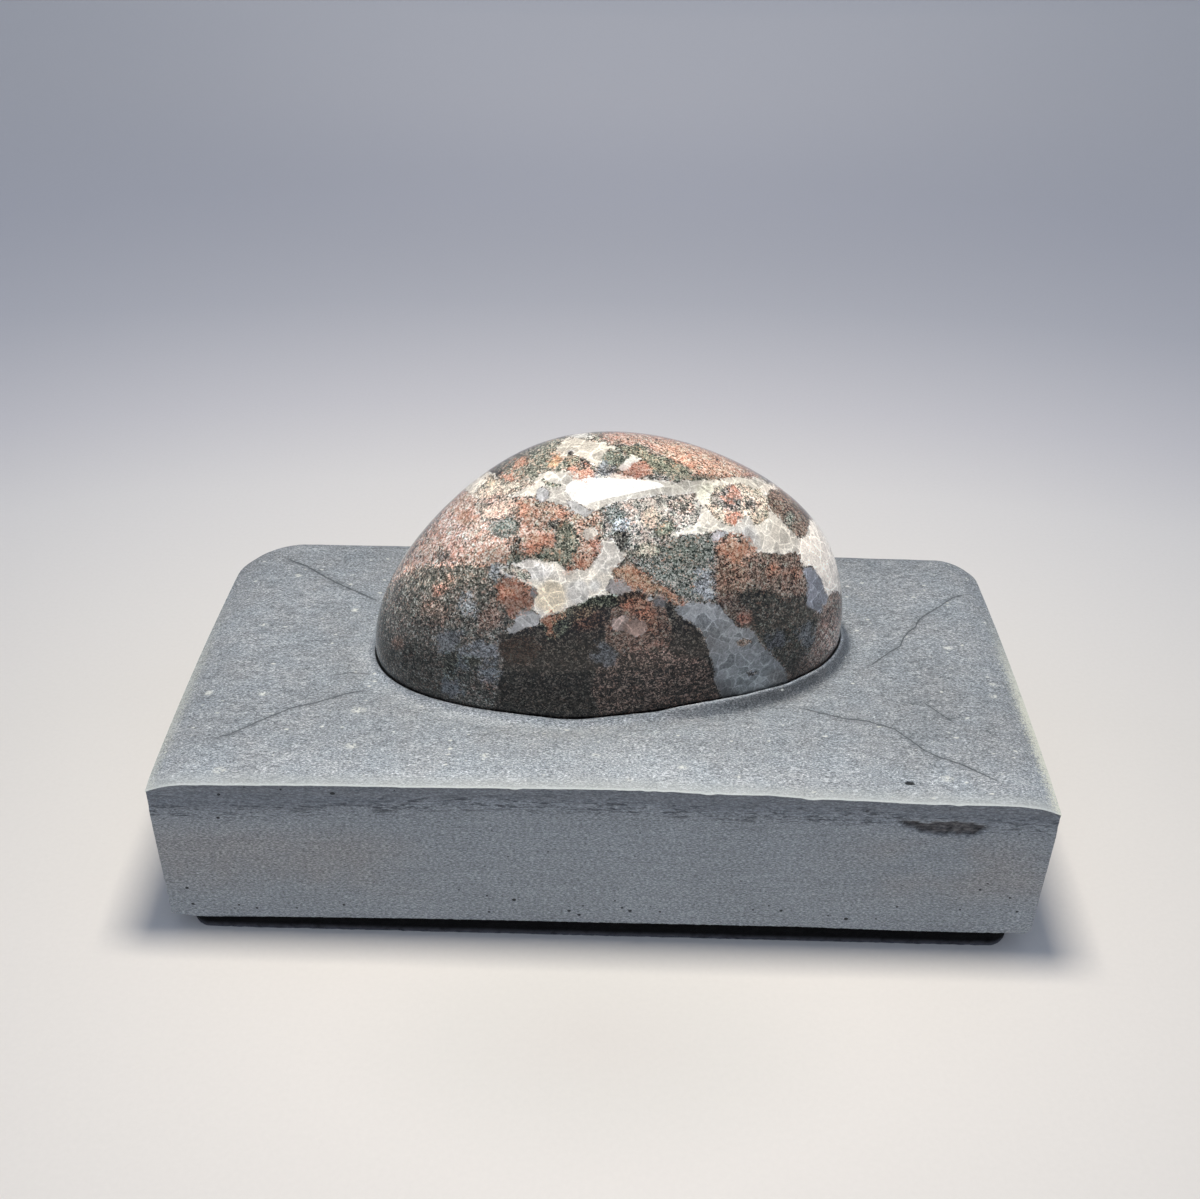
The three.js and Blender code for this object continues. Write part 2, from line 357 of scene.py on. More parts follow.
class Graph:
    """A material's node graph, with one short call for each kind of node it uses."""

    def __init__(self, name):
        self.material = bpy.data.materials.new(name)
        self.material.use_nodes = True
        self.tree = self.material.node_tree
        self.tree.nodes.clear()
        self.output = self.tree.nodes.new("ShaderNodeOutputMaterial")

    def node(self, kind, inputs=None, **settings):
        made = self.tree.nodes.new(kind)
        for key, value in settings.items():
            setattr(made, key, value)
        for key, value in (inputs or {}).items():
            if isinstance(value, bpy.types.NodeSocket):
                self.tree.links.new(value, made.inputs[key])
            else:
                made.inputs[key].default_value = value
        return made

    def math(self, operation, first, second=0.0):
        return self.node("ShaderNodeMath", {0: first, 1: second}, operation=operation).outputs[0]

    def plus(self, first, second):
        return self.math("ADD", first, second)

    def times(self, first, second):
        return self.math("MULTIPLY", first, second)

    def weighted(self, first, *others):
        """The sum of (value, weight) pairs, each value times its weight."""
        total = self.times(*first)
        for value, weight in others:
            total = self.plus(total, self.times(value, weight))
        return total

    def centred(self, value, amount):
        """A 0 to 1 value as one that runs from -amount / 2 to amount / 2."""
        return self.times(self.plus(value, -0.5), amount)

    def away_from(self, value, place):
        return self.math("ABSOLUTE", self.plus(value, -place))

    def greatest(self, first, second):
        return self.math("MAXIMUM", first, second)

    def span(self, value, low, high, smooth=True):
        """0 below `low`, 1 above `high`."""
        made = self.node("ShaderNodeMapRange", {"Value": value, "From Min": low, "From Max": high},
                         interpolation_type="SMOOTHSTEP" if smooth else "LINEAR")
        return made.outputs[0]

    def mix(self, share, first, second, blend="MIX"):
        made = self.node("ShaderNodeMix", {0: share, 6: first, 7: second}, data_type="RGBA",
                         blend_type=blend)
        return made.outputs[2]

    def tinted(self, colour, factor):
        return self.mix(1.0, colour, factor, "MULTIPLY")

    def painted(self, colour, share, shade):
        """The colour, covered by a share of an sRGB shade."""
        return self.mix(share, colour, linear(shade))

    def ramp(self, value, stops):
        made = self.node("ShaderNodeValToRGB", {0: value})
        elements = made.color_ramp.elements
        while len(elements) < len(stops):
            elements.new(1.0)
        for element, (place, colour) in zip(elements, stops):
            element.position = place
            element.color = linear(colour)
        return made.outputs[0]

    def noise(self, place, size, detail=2.0, roughness=0.5, distortion=0.0):
        made = self.node("ShaderNodeTexNoise", {
            "Vector": place, "Scale": 1 / size, "Detail": detail, "Roughness": roughness,
            "Distortion": distortion,
        })
        return made.outputs[0]

    def voronoi(self, place, size, feature="F1"):
        return self.node("ShaderNodeTexVoronoi", {"Vector": place, "Scale": 1 / size},
                         feature=feature)

    def cell_values(self, cells):
        """The random values that each cell of a Voronoi texture carries."""
        return self.parts(cells.outputs["Color"])

    def parts(self, colour):
        return self.node("ShaderNodeSeparateColor", {0: colour}).outputs

    def seam_distance(self, place, size):
        return self.voronoi(place, size, "DISTANCE_TO_EDGE").outputs["Distance"]

    def millimetres(self):
        """The place on the object, in millimetres."""
        place = self.node("ShaderNodeTexCoord").outputs["Object"]
        return self.scaled(place, (1 / MM, 1 / MM, 1 / MM))

    def scaled(self, place, factors):
        return self.node("ShaderNodeVectorMath", {0: place, 1: factors},
                         operation="MULTIPLY").outputs[0]

    def shifted(self, place, offset):
        return self.node("ShaderNodeVectorMath", {0: place, 1: offset},
                         operation="ADD").outputs[0]

    def length(self, vector):
        return self.node("ShaderNodeVectorMath", {0: vector}, operation="LENGTH").outputs["Value"]

    def warped(self, place, size, amount):
        """The place, shifted by up to about half of `amount` in every direction."""
        field = self.node("ShaderNodeTexNoise", {"Vector": place, "Scale": 1 / size,
                                                 "Detail": 1.0}).outputs["Color"]
        centred = self.shifted(field, (-0.5, -0.5, -0.5))
        return self.shifted(place, self.scaled(centred, (amount, amount, amount)))

    def attribute(self, name, output="Fac"):
        return self.node("ShaderNodeAttribute", attribute_name=name).outputs[output]

    def surface(self, inputs):
        shader = self.node("ShaderNodeBsdfPrincipled", inputs)
        self.tree.links.new(shader.outputs[0], self.output.inputs[0])
        return self.material


# ---- what the cobble is made of

# Rocks: the grains of each as (share, colour), from the darkest to the palest.
ROCKS = {
    "grey": [(0.18, (34, 35, 33)), (0.24, (70, 69, 64)), (0.24, (104, 101, 94)),
             (0.18, (142, 139, 131)), (0.07, (168, 132, 117)), (0.09, (202, 198, 190))],
    "pink": [(0.16, (62, 58, 53)), (0.14, (128, 113, 102)), (0.23, (206, 160, 138)),
             (0.21, (224, 192, 172)), (0.17, (238, 220, 205)), (0.09, (250, 243, 234))],
    "cream": [(0.15, (66, 70, 67)), (0.16, (124, 121, 113)), (0.23, (180, 170, 157)),
              (0.25, (218, 205, 188)), (0.21, (244, 236, 222))],
    "green": [(0.20, (38, 44, 40)), (0.22, (84, 89, 81)), (0.25, (126, 130, 120)),
              (0.19, (166, 168, 157)), (0.10, (212, 211, 200)), (0.04, (172, 138, 116))],
    "brown": [(0.20, (28, 25, 23)), (0.26, (86, 74, 66)), (0.26, (134, 115, 104)),
              (0.18, (178, 153, 140)), (0.10, (162, 163, 154))],
    "dark": [(0.29, (10, 10, 10)), (0.30, (40, 39, 37)), (0.25, (82, 78, 72)),
             (0.16, (134, 127, 118))],
    "rust": [(0.14, (104, 84, 74)), (0.28, (182, 128, 107)), (0.32, (209, 161, 138)),
             (0.26, (236, 206, 188))],
    "blue": [(0.22, (64, 66, 68)), (0.30, (112, 115, 118)), (0.28, (145, 149, 153)),
             (0.20, (184, 188, 192))],
}
# How strongly each rock drifts between rusty and olive tones.
HUE_SHARES = {"grey": 0.6, "pink": 1.0, "cream": 0.7, "green": 0.45, "brown": 0.8, "dark": 0.5,
              "rust": 0.8, "blue": 0.15}
SOFT_ROCKS = ("rust", "blue")  # stains whose edges fade out grain by grain
QUARTZES = {
    "white": [(0.20, (160, 158, 154)), (0.30, (187, 184, 179)), (0.30, (206, 202, 196)),
              (0.20, (226, 223, 217))],
    "smoky": [(0.20, (108, 110, 112)), (0.32, (131, 133, 135)), (0.30, (150, 151, 153)),
              (0.18, (174, 175, 177))],
}
QUARTZ_LINES = {"white": ((255, 253, 247), 1.0), "smoky": ((212, 214, 217), 0.6)}
HARD_ROCKS = [kind for kind in ROCKS if kind not in SOFT_ROCKS]
KINDS = [*HARD_ROCKS, *QUARTZES, *SOFT_ROCKS]
FIELD_LIMIT = 9.0  # picture pixels to each side of a boundary that the fields describe

PLAIN = (1.0, 1.0, 1.0)
PALE_BLUE = (1.22, 1.24, 1.26)


def outline(kind, tint, *corners):
    return {"kind": kind, "tint": tint, "corners": corners}


def spot(kind, tint, left, top, right, bottom, turn=0):
    """An oval patch of a width and height, turned clockwise by `turn` degrees."""
    middle = ((left + right) / 2, (top + bottom) / 2)
    return {"kind": kind, "tint": tint, "middle": middle,
            "radii": ((right - left) / 2, (bottom - top) / 2), "turn": math.radians(turn)}


def shade(tint, feather, left, top, right, bottom, turn=0):
    """A soft-edged oval that only tints the rock that is there."""
    patch = spot(None, tint, left, top, right, bottom, turn)
    patch["feather"] = feather
    return patch


# The clasts that the front shows, in picture pixels, each over those before it.
UPPER_LEFT_GRANITE = [
    outline("pink", (1.01, 1.04, 1.08), (380, 600), (405, 562), (419, 540), (443, 510), (466, 486),
            (486, 472), (500, 490), (540, 497), (566, 510), (562, 530), (556, 547), (546, 556),
            (528, 558), (500, 562), (482, 566), (452, 563), (425, 566), (408, 572), (396, 584)),
    shade((1.04, 1.06, 1.1), 5, 425, 500, 462, 560, -60),
    shade((1.4, 1.44, 1.52), 5, 432, 550, 458, 572),
    shade((0.78, 0.82, 0.86), 5, 412, 552, 430, 570),
    shade((1.18, 1.24, 1.28), 6, 446, 505, 512, 548, 10),
    shade((0.72, 0.72, 0.7), 4, 516, 498, 566, 530),
    spot("rust", PLAIN, 456, 512, 474, 523, 10),
    spot("rust", (1.05, 1.02, 1.0), 518, 503, 531, 518, 20),
    spot("rust", PLAIN, 554, 509, 566, 520, 30),
    outline("cream", (1.05, 1.0, 0.98), (478, 506), (498, 502), (511, 498), (518, 506), (512, 516),
            (495, 520), (484, 519)),
    spot("green", (0.95, 1.02, 1.08), 491, 518, 518, 535, -16),
    spot("rust", (0.86, 0.78, 0.74), 520, 534, 553, 554, -24),
    shade((1.22, 1.24, 1.26), 6, 478, 508, 512, 534),
    shade((1.2, 1.28, 1.28), 6, 540, 496, 570, 516),
    spot("dark", (1.6, 1.7, 1.75), 547, 519, 558, 527, -10),
    spot("grey", (0.75, 0.78, 0.78), 510, 537, 523, 556),
    spot("rust", (1.16, 1.23, 1.36), 446, 538, 459, 566, 4),
    spot("rust", (0.78, 1.01, 1.12), 482, 545, 505, 564, -14),
    spot("grey", (0.9, 0.92, 0.96), 434, 550, 450, 562),
    outline("green", (0.82, 0.82, 0.78), (500, 562), (512, 552), (530, 556), (548, 546), (556, 548),
            (552, 561), (538, 566), (516, 567)),
]
OLIVE_RIM = [
    outline("green", (1.46, 1.39, 1.36), (484, 474), (487, 466), (510, 456), (535, 444), (556, 436),
            (572, 430), (596, 430), (606, 440), (600, 466), (592, 474), (570, 471), (548, 470),
            (530, 481), (510, 481), (497, 478)),
    shade((0.74, 0.73, 0.76), 3, 482, 450, 545, 466, -27),
    shade((0.88, 0.88, 0.88), 3, 498, 456, 562, 472, -10),
    spot("rust", (1.0, 1.02, 1.0), 515, 459, 527, 468, -20),
    spot("rust", (1.12, 1.18, 1.0), 549, 455, 563, 466, -10),
    spot("rust", (1.2, 1.3, 1.35), 503, 471, 514, 479),
    spot("dark", (1.3, 1.3, 1.35), 489, 470, 501, 477),
]
CROWN = [
    outline("white", (0.97, 0.92, 0.86), (556, 447), (564, 440), (575, 438), (600, 442), (617, 447),
            (612, 455), (603, 461), (600, 467), (592, 463), (585, 460), (577, 455), (568, 452),
            (562, 460), (557, 456)),
    spot("white", PLAIN, 568, 431, 592, 439, 4),
    spot("dark", (1.5, 1.5, 1.6), 568, 448, 574, 456),
    spot("dark", (1.4, 1.35, 1.4), 578, 458, 590, 467, 20),
    spot("green", (1.15, 1.12, 1.05), 567, 457, 582, 468),
    outline("pink", (0.86, 0.85, 0.89), (598, 436), (606, 430), (627, 428), (650, 431), (690, 440),
            (720, 450), (748, 465), (760, 478), (748, 478), (735, 479), (700, 478), (691, 476),
            (679, 463), (660, 456), (645, 448), (627, 447), (617, 445), (604, 442)),
    shade((1.12, 1.1, 1.02), 4, 655, 445, 745, 478, 20),
    spot("rust", (1.15, 1.1, 1.05), 676, 454, 690, 464),
    outline("green", (1.02, 1.0, 0.9), (617, 447), (640, 447), (660, 457), (680, 464), (691, 476),
            (704, 480), (690, 481), (672, 479), (655, 470), (640, 464), (628, 455)),
    shade((0.72, 0.7, 0.7), 2, 686, 475, 740, 483, 2),
    shade((1.55, 1.55, 1.62), 4, 650, 472, 694, 490, 10),
    outline("green", (0.8, 0.86, 0.84), (601, 463), (604, 454), (612, 449), (619, 451), (623, 458),
            (627, 466), (618, 472), (608, 471)),
    outline("white", (0.95, 0.98, 0.99), (618, 470), (624, 460), (632, 454), (641, 458), (640, 465),
            (630, 469), (622, 472)),
    outline("rust", (0.74, 0.72, 0.75), (621, 480), (624, 471), (634, 464), (648, 465), (652, 471),
            (645, 476), (632, 478)),
]
WHITE_BAND = [
    outline("white", (1.08, 1.04, 0.99), (463, 489), (472, 480), (484, 471), (494, 473), (500, 482),
            (514, 482), (536, 478), (548, 471), (570, 472), (592, 474), (612, 474), (640, 478),
            (664, 480), (690, 481), (720, 479), (757, 478), (768, 482), (786, 491), (770, 492),
            (768, 504), (777, 515), (788, 527), (800, 538), (797, 553), (757, 552), (750, 545),
            (741, 534), (727, 534), (720, 530), (697, 534), (688, 538), (672, 538), (672, 527),
            (690, 522), (700, 508), (695, 494), (650, 497), (600, 508), (585, 516), (566, 508),
            (540, 498), (515, 496), (500, 494), (480, 500)),
    shade((0.82, 0.83, 0.86), 4, 538, 470, 608, 514, -6),
    shade((0.72, 0.74, 0.77), 4, 600, 474, 704, 508, -8),
    outline("cream", (1.25, 1.22, 1.22), (482, 484), (490, 476), (510, 480), (528, 478), (534, 484),
            (516, 494), (500, 496), (480, 500), (474, 494)),
    spot("cream", (1.12, 1.08, 1.0), 486, 474, 496, 488, 20),
    spot("rust", (1.05, 1.0, 1.02), 571, 467, 594, 481, 8),
    spot("blue", PALE_BLUE, 592, 466, 614, 478),
    outline("green", (1.25, 1.3, 1.25), (541, 480), (550, 481), (560, 486), (556, 489), (545, 485)),
    spot("smoky", (1.25, 1.22, 1.22), 536, 487, 549, 501),
    outline("smoky", (1.2, 1.16, 1.12), (565, 502), (575, 501), (592, 510), (596, 517), (584, 518),
            (572, 511)),
    shade((0.82, 0.82, 0.8), 4, 650, 478, 760, 492),
    shade((1.28, 1.26, 1.24), 5, 466, 476, 502, 500, -30),
    shade((1.28, 1.14, 1.16), 5, 482, 497, 516, 522),
    shade((0.8, 0.72, 0.72), 4, 606, 464, 642, 480),
    shade((0.94, 0.97, 0.92), 4, 697, 484, 716, 504),
    outline("cream", (1.12, 1.08, 1.02), (705, 506), (716, 486), (736, 483), (760, 488), (768, 500),
            (770, 516), (756, 526), (744, 518), (730, 526), (716, 520)),
    spot("cream", (0.6, 0.58, 0.58), 711, 492, 724, 506),
    outline("grey", (1.0, 0.98, 1.0), (722, 488), (732, 484), (740, 490), (741, 508), (733, 513),
            (724, 508), (718, 502)),
    spot("rust", (0.85, 0.82, 0.82), 725, 490, 736, 500),
    spot("rust", (0.95, 0.86, 0.84), 725, 511, 740, 524, -20),
    shade((1.3, 1.34, 1.42), 6, 706, 486, 764, 520),
    spot("grey", (1.05, 1.05, 1.1), 744, 498, 758, 508),
    outline("white", (1.0, 0.98, 0.97), (730, 530), (738, 518), (750, 516), (758, 530), (762, 552),
            (750, 548), (742, 534)),
    shade((0.78, 0.8, 0.84), 3, 740, 527, 756, 545),
    spot("smoky", (1.3, 1.2, 1.2), 711, 530, 728, 544),
    shade((0.9, 0.89, 0.88), 3, 772, 505, 800, 552, 30),
    shade((0.88, 0.9, 0.9), 3, 672, 518, 702, 540),
    outline("white", (1.50, 1.43, 1.37), (800, 538), (806, 534), (806, 520), (812, 512), (824, 524),
            (834, 545), (842, 575), (846, 604), (828, 600), (814, 572), (803, 564), (797, 552)),
    outline("brown", (1.2, 1.18, 1.14), (767, 500), (768, 490), (780, 488), (793, 496), (804, 508),
            (811, 519), (807, 530), (804, 538), (796, 536), (788, 528), (779, 516), (770, 509)),
    spot("green", (1.2, 1.25, 1.25), 784, 511, 797, 526, 30),
    shade((1.4, 1.32, 1.3), 4, 764, 486, 802, 500, 20),
]
SPECKLED_MIDDLE = [
    outline("cream", (0.93, 0.96, 1.03), (600, 508), (620, 501), (650, 497), (692, 494), (702, 507),
            (699, 520), (688, 527), (672, 534), (660, 546), (640, 550), (622, 550), (610, 545),
            (603, 530)),
    outline("green", (0.95, 0.98, 1.08), (603, 508), (614, 505), (624, 512), (629, 522), (626, 530),
            (628, 545), (620, 550), (611, 541), (612, 526), (606, 518)),
    spot("blue", (2.05, 2.09, 2.09), 612, 518, 631, 530, 16),
    spot("dark", (1.5, 1.6, 1.6), 612, 530, 628, 548, 30),
    spot("cream", (1.15, 1.1, 1.08), 640, 508, 660, 528),
    spot("green", (1.2, 1.2, 1.12), 655, 522, 676, 536, -20),
    spot("grey", (1.1, 1.1, 1.12), 672, 500, 694, 514),
    shade((1.32, 1.32, 1.33), 6, 660, 502, 700, 542, 30),
    shade((1.24, 1.26, 1.3), 6, 604, 502, 640, 550),
    outline("pink", (0.86, 0.88, 0.88), (566, 511), (585, 516), (600, 509), (604, 530), (600, 545),
            (597, 556), (589, 568), (573, 571), (562, 560), (568, 540), (560, 527)),
    spot("white", (0.95, 0.88, 0.84), 583, 528, 598, 541),
    spot("rust", (1.28, 1.2, 1.22), 589, 540, 601, 553, -20),
    spot("rust", (0.74, 0.72, 0.68), 571, 555, 592, 569, -14),
    outline("green", (0.92, 0.9, 0.84), (554, 524), (566, 520), (572, 526), (577, 540), (576, 552),
            (570, 566), (562, 567), (553, 561), (545, 557), (556, 546)),
    shade((1.3, 1.3, 1.3), 3, 568, 522, 580, 552),
]
GREY_GREEN_CLAST = [
    outline("green", (1.02, 1.04, 1.12), (630, 556), (648, 548), (661, 545), (672, 537), (690, 534),
            (706, 534), (716, 541), (719, 557), (714, 569), (704, 578), (701, 600), (689, 602),
            (681, 602), (668, 589), (649, 578), (636, 566)),
    spot("cream", (1.0, 1.02, 1.0), 634, 544, 662, 558, -12),
    shade((0.72, 0.74, 0.72), 4, 662, 538, 705, 566),
    shade((1.25, 1.25, 1.25), 4, 654, 562, 684, 586, 30),
    shade((1.3, 1.26, 1.24), 5, 664, 542, 690, 562),
    spot("blue", (1.41, 1.41, 1.43), 698, 567, 715, 602),
]
RIGHT_BROWN_CLAST = [
    outline("brown", (1.12, 1.1, 1.08), (718, 541), (727, 533), (741, 535), (750, 545), (757, 553),
            (797, 553), (803, 565), (809, 578), (808, 590), (815, 602), (828, 599), (846, 604),
            (846, 640), (836, 660), (800, 684), (780, 684), (788, 669), (767, 649), (755, 634),
            (736, 623), (722, 609), (715, 590), (715, 562)),
    spot("rust", (0.66, 0.65, 0.61), 720, 538, 752, 562, 10),
    shade((1.1, 1.0, 0.94), 4, 716, 556, 748, 600),
    shade((1.35, 1.02, 0.9), 3, 766, 563, 780, 577),
    shade((1.3, 1.02, 0.92), 3, 791, 566, 803, 580),
    outline("grey", (0.44, 0.46, 0.44), (738, 592), (757, 588), (775, 594), (790, 600), (808, 592),
            (814, 604), (818, 620), (813, 642), (801, 661), (794, 676), (786, 669), (767, 649),
            (755, 632), (740, 622), (734, 606)),
    spot("brown", (1.0, 0.95, 0.9), 726, 604, 752, 626, 40),
    shade((1.7, 1.15, 1.05), 3, 738, 613, 751, 625, 20),
    shade((0.66, 0.7, 0.73), 6, 712, 594, 756, 628, 40),
    spot("blue", (0.38, 0.37, 0.38), 768, 632, 786, 650, 30),
    spot("blue", (0.73, 0.72, 0.71), 798, 625, 814, 648),
    outline("smoky", (0.98, 1.0, 1.1), (802, 566), (812, 566), (822, 580), (827, 600), (820, 613),
            (806, 605), (808, 585)),
    outline("brown", (1.38, 1.32, 1.32), (827, 597), (836, 590), (848, 600), (846, 640), (832, 664),
            (812, 676), (800, 680), (806, 664), (815, 642), (820, 620)),
    # Painted shade: darker towards the cobble's foot.
    shade((0.46, 0.44, 0.44), 6, 786, 656, 816, 690, -20),
    shade((1.9, 1.96, 1.98), 5, 822, 622, 848, 652, 10),
    shade((1.3, 1.4, 1.48), 5, 718, 530, 742, 550),
]
LEFT_DARK_MASS = [
    outline("grey", (0.78, 0.82, 0.83), (370, 620), (393, 581), (408, 572), (425, 567), (452, 566),
            (482, 568), (500, 572), (512, 600), (505, 628), (500, 640), (505, 700), (480, 716),
            (430, 704), (390, 684), (368, 660)),
    shade((1.42, 1.4, 1.36), 6, 386, 560, 512, 586, -3),
    shade((1.38, 1.38, 1.36), 7, 374, 574, 448, 618, -14),
    shade((0.8, 0.84, 0.86), 4, 440, 556, 512, 570, 2),
    shade((1.26, 1.24, 1.22), 7, 430, 570, 504, 640, 30),
    # Painted shade: darker towards the cobble's foot.
    shade((0.62, 0.61, 0.6), 9, 370, 646, 460, 712, 30),
    shade((1.7, 1.15, 1.05), 3, 433, 582, 449, 595, -20),
    shade((1.3, 1.08, 1.02), 5, 420, 600, 448, 622, 40),
    shade((1.5, 1.1, 1.0), 3, 391, 638, 404, 649, 30),
    shade((1.5, 1.15, 1.05), 3, 445, 573, 454, 583),
    spot("blue", (1.85, 1.82, 1.77), 461, 599, 478, 614),
    outline("blue", (0.59, 0.59, 0.59), (435, 636), (446, 629), (462, 634), (456, 646), (448, 656),
            (438, 650)),
    outline("blue", (0.88, 0.88, 0.90), (470, 650), (484, 642), (498, 644), (504, 658), (494, 664),
            (478, 660)),
    outline("blue", (0.76, 0.76, 0.77), (455, 652), (466, 642), (470, 656), (462, 668), (454, 668)),
    spot("blue", (0.86, 0.87, 0.88), 480, 667, 500, 682),
    spot("blue", (0.62, 0.62, 0.63), 440, 678, 460, 695, 50),
    outline("dark", (1.1, 1.25, 1.2), (446, 652), (456, 650), (459, 664), (452, 682), (444, 676)),
    spot("dark", (1.1, 1.2, 1.1), 462, 655, 482, 666),
    shade((1.15, 1.02, 0.98), 4, 470, 677, 496, 690, 10),
    spot("blue", (1.04, 1.04, 1.05), 488, 566, 512, 578, 20),
    spot("brown", (1.2, 1.12, 1.1), 478, 606, 500, 632, 50),
]
CRACKLED_VEIN = [
    outline("white", (1.23, 1.18, 1.12), (498, 568), (512, 563), (524, 561), (538, 559), (554, 561),
            (566, 570), (573, 571), (589, 568), (597, 556), (602, 540), (612, 540), (620, 548),
            (628, 555), (616, 566), (612, 573), (615, 581), (633, 589), (622, 594), (605, 595),
            (591, 598), (577, 605), (560, 612), (545, 617), (539, 624), (528, 627), (513, 632),
            (502, 631), (511, 625), (516, 613), (528, 609), (534, 604), (536, 594), (530, 585),
            (521, 580), (501, 574)),
    shade((1.2, 1.24, 1.34), 3, 500, 558, 552, 580, 6),
    shade((0.78, 0.8, 0.84), 2, 568, 580, 590, 605),
    shade((0.8, 0.83, 0.88), 2, 590, 580, 601, 592),
    shade((1.12, 1.05, 0.92), 3, 535, 582, 566, 614),
    shade((0.84, 0.84, 0.84), 2, 540, 570, 553, 588),
    shade((0.68, 0.67, 0.66), 4, 508, 554, 536, 572),
    shade((0.86, 0.84, 0.84), 2, 560, 566, 576, 578),
    shade((0.76, 0.77, 0.8), 3, 592, 540, 624, 574),
    outline("smoky", (1.26, 1.22, 1.18), (502, 631), (511, 625), (516, 614), (530, 609), (541, 616),
            (539, 624), (528, 628), (513, 632)),
    outline("smoky", (0.93, 0.85, 0.81), (606, 587), (611, 581), (624, 580), (638, 588), (640, 594),
            (630, 597), (612, 594)),
    outline("cream", (0.82, 0.84, 0.86), (499, 568), (512, 564), (530, 574), (528, 582),
            (514, 576)),
    outline("rust", (0.48, 0.47, 0.47), (503, 578), (516, 579), (529, 585), (535, 594), (532, 604),
            (521, 611), (510, 610), (498, 604), (496, 590)),
    spot("rust", (0.86, 0.72, 0.66), 501, 586, 512, 597, 40),
    shade((1.32, 1.34, 1.34), 4, 512, 572, 538, 592, 20),
    spot("smoky", (0.7, 0.68, 0.68), 529, 588, 537, 598),
    outline("rust", (0.75, 0.81, 0.76), (613, 570), (621, 563), (636, 566), (649, 578), (668, 589),
            (683, 601), (677, 604), (664, 598), (649, 595), (635, 587), (620, 581)),
]
LOWER_VEIN = [
    outline("smoky", (0.84, 0.85, 0.84), (676, 606), (691, 603), (716, 603), (721, 609), (730, 618),
            (739, 626), (755, 634), (767, 650), (778, 662), (784, 669), (787, 686), (780, 694),
            (728, 706), (717, 684), (711, 661), (707, 642), (700, 630), (689, 622), (674, 613)),
    shade((1.06, 1.07, 1.1), 4, 676, 602, 722, 626, 10),
    shade((1.2, 1.22, 1.2), 6, 725, 662, 782, 704),
    spot("brown", (1.2, 1.15, 1.1), 737, 639, 751, 647, -20),
    spot("dark", (1.6, 1.65, 1.8), 747, 669, 755, 675),
    shade((0.72, 0.68, 0.66), 3, 768, 669, 786, 686),
    # Painted shade: darker towards the cobble's foot.
    shade((0.5, 0.49, 0.49), 7, 704, 676, 734, 706, 50),
    shade((0.72, 0.7, 0.7), 3, 707, 632, 716, 652),
]
DARK_ARC = [
    outline("dark", (0.7, 0.67, 0.65), (499, 636), (513, 632), (528, 628), (540, 624), (545, 617),
            (560, 612), (577, 605), (591, 598), (605, 595), (622, 594), (636, 590), (650, 597),
            (664, 603), (677, 612), (695, 626), (707, 645), (711, 661), (718, 684), (728, 706),
            (640, 728), (560, 732), (490, 716), (499, 690), (504, 660)),
    outline("dark", (1.1, 1.3, 1.15), (540, 624), (560, 612), (577, 605), (591, 598), (616, 594),
            (617, 604), (596, 612), (575, 620), (560, 640), (548, 640)),
    outline("brown", (0.8, 0.72, 0.68), (604, 640), (606, 622), (614, 606), (632, 598), (652, 600),
            (664, 606), (672, 622), (668, 655), (650, 660), (625, 656)),
    shade((1.5, 1.15, 1.02), 4, 618, 594, 654, 616, 14),
    shade((1.5, 1.25, 1.12), 4, 636, 611, 658, 633),
    spot("smoky", (1.30, 0.98, 0.84), 612, 616, 628, 632),
    spot("smoky", (1.20, 0.82, 0.66), 623, 619, 647, 636),
    shade((1.6, 1.1, 0.98), 5, 570, 607, 604, 630),
    spot("rust", (0.62, 0.54, 0.48), 544, 611, 560, 620, -30),
    spot("rust", (0.56, 0.42, 0.36), 546, 620, 555, 635),
    spot("brown", (0.24, 0.21, 0.19), 500, 636, 542, 664),
    outline("dark", (1.55, 1.24, 1.17), (590, 690), (600, 664), (625, 655), (668, 650), (705, 660),
            (716, 684), (722, 702), (690, 716), (640, 720), (600, 714)),
    shade((1.3, 1.22, 1.24), 5, 625, 640, 700, 664, 10),
    spot("blue", (0.48, 0.48, 0.49), 593, 644, 618, 664),
    spot("smoky", (0.62, 0.58, 0.58), 653, 596, 667, 608),
    spot("white", (0.7, 0.74, 0.8), 647, 596, 654, 602),
    spot("dark", (0.9, 0.9, 0.9), 664, 600, 678, 610),
    # Painted shade: darker towards the cobble's foot.
    shade((0.78, 0.76, 0.76), 6, 640, 690, 730, 720, -14),
]
CLASTS = [*UPPER_LEFT_GRANITE, *OLIVE_RIM, *CROWN, *WHITE_BAND, *SPECKLED_MIDDLE,
          *GREY_GREEN_CLAST, *RIGHT_BROWN_CLAST, *LEFT_DARK_MASS, *CRACKLED_VEIN, *LOWER_VEIN,
          *DARK_ARC]

# ---- the cobble

STONE_STEPS = 480
STONE_SHOWN_RINGS = 176
STONE_BURIED_RINGS = 12
# Painted shadow: the cobble is darkened just above the socket's rim.
CONTACT_SHADOW_REACH = 0.5  # millimetres up from the rim
CONTACT_SHADOW_STRENGTH = 0.8
CLAST_TINT_SOFTNESS = 0.8  # pixels to each side over which tints blend
STAIN_TINT_SOFTNESS = 3.5
# How the borders wander: lump size in millimetres, amount in pixels, and the seeds.
CLAST_WAVES = [(2.4, 2.6, (3.1, 43.1)), (0.9, 1.0, (17.7, 57.7))]
STAIN_WAVE = (1.7, 8.0, (61.5, 91.5))


def picture_distance(patch, places):
    """Distance inside a patch, in pixels; negative outside."""
    if "corners" in patch:
        return outline_distance(places, np.array(patch["corners"], float))
    x, y = (places - patch["middle"]).T
    cosine, sine = math.cos(patch["turn"]), math.sin(patch["turn"])
    along, aside = x * cosine + y * sine, y * cosine - x * sine
    radii = patch["radii"]
    return (1 - np.hypot(along / radii[0], aside / radii[1])) * min(radii)


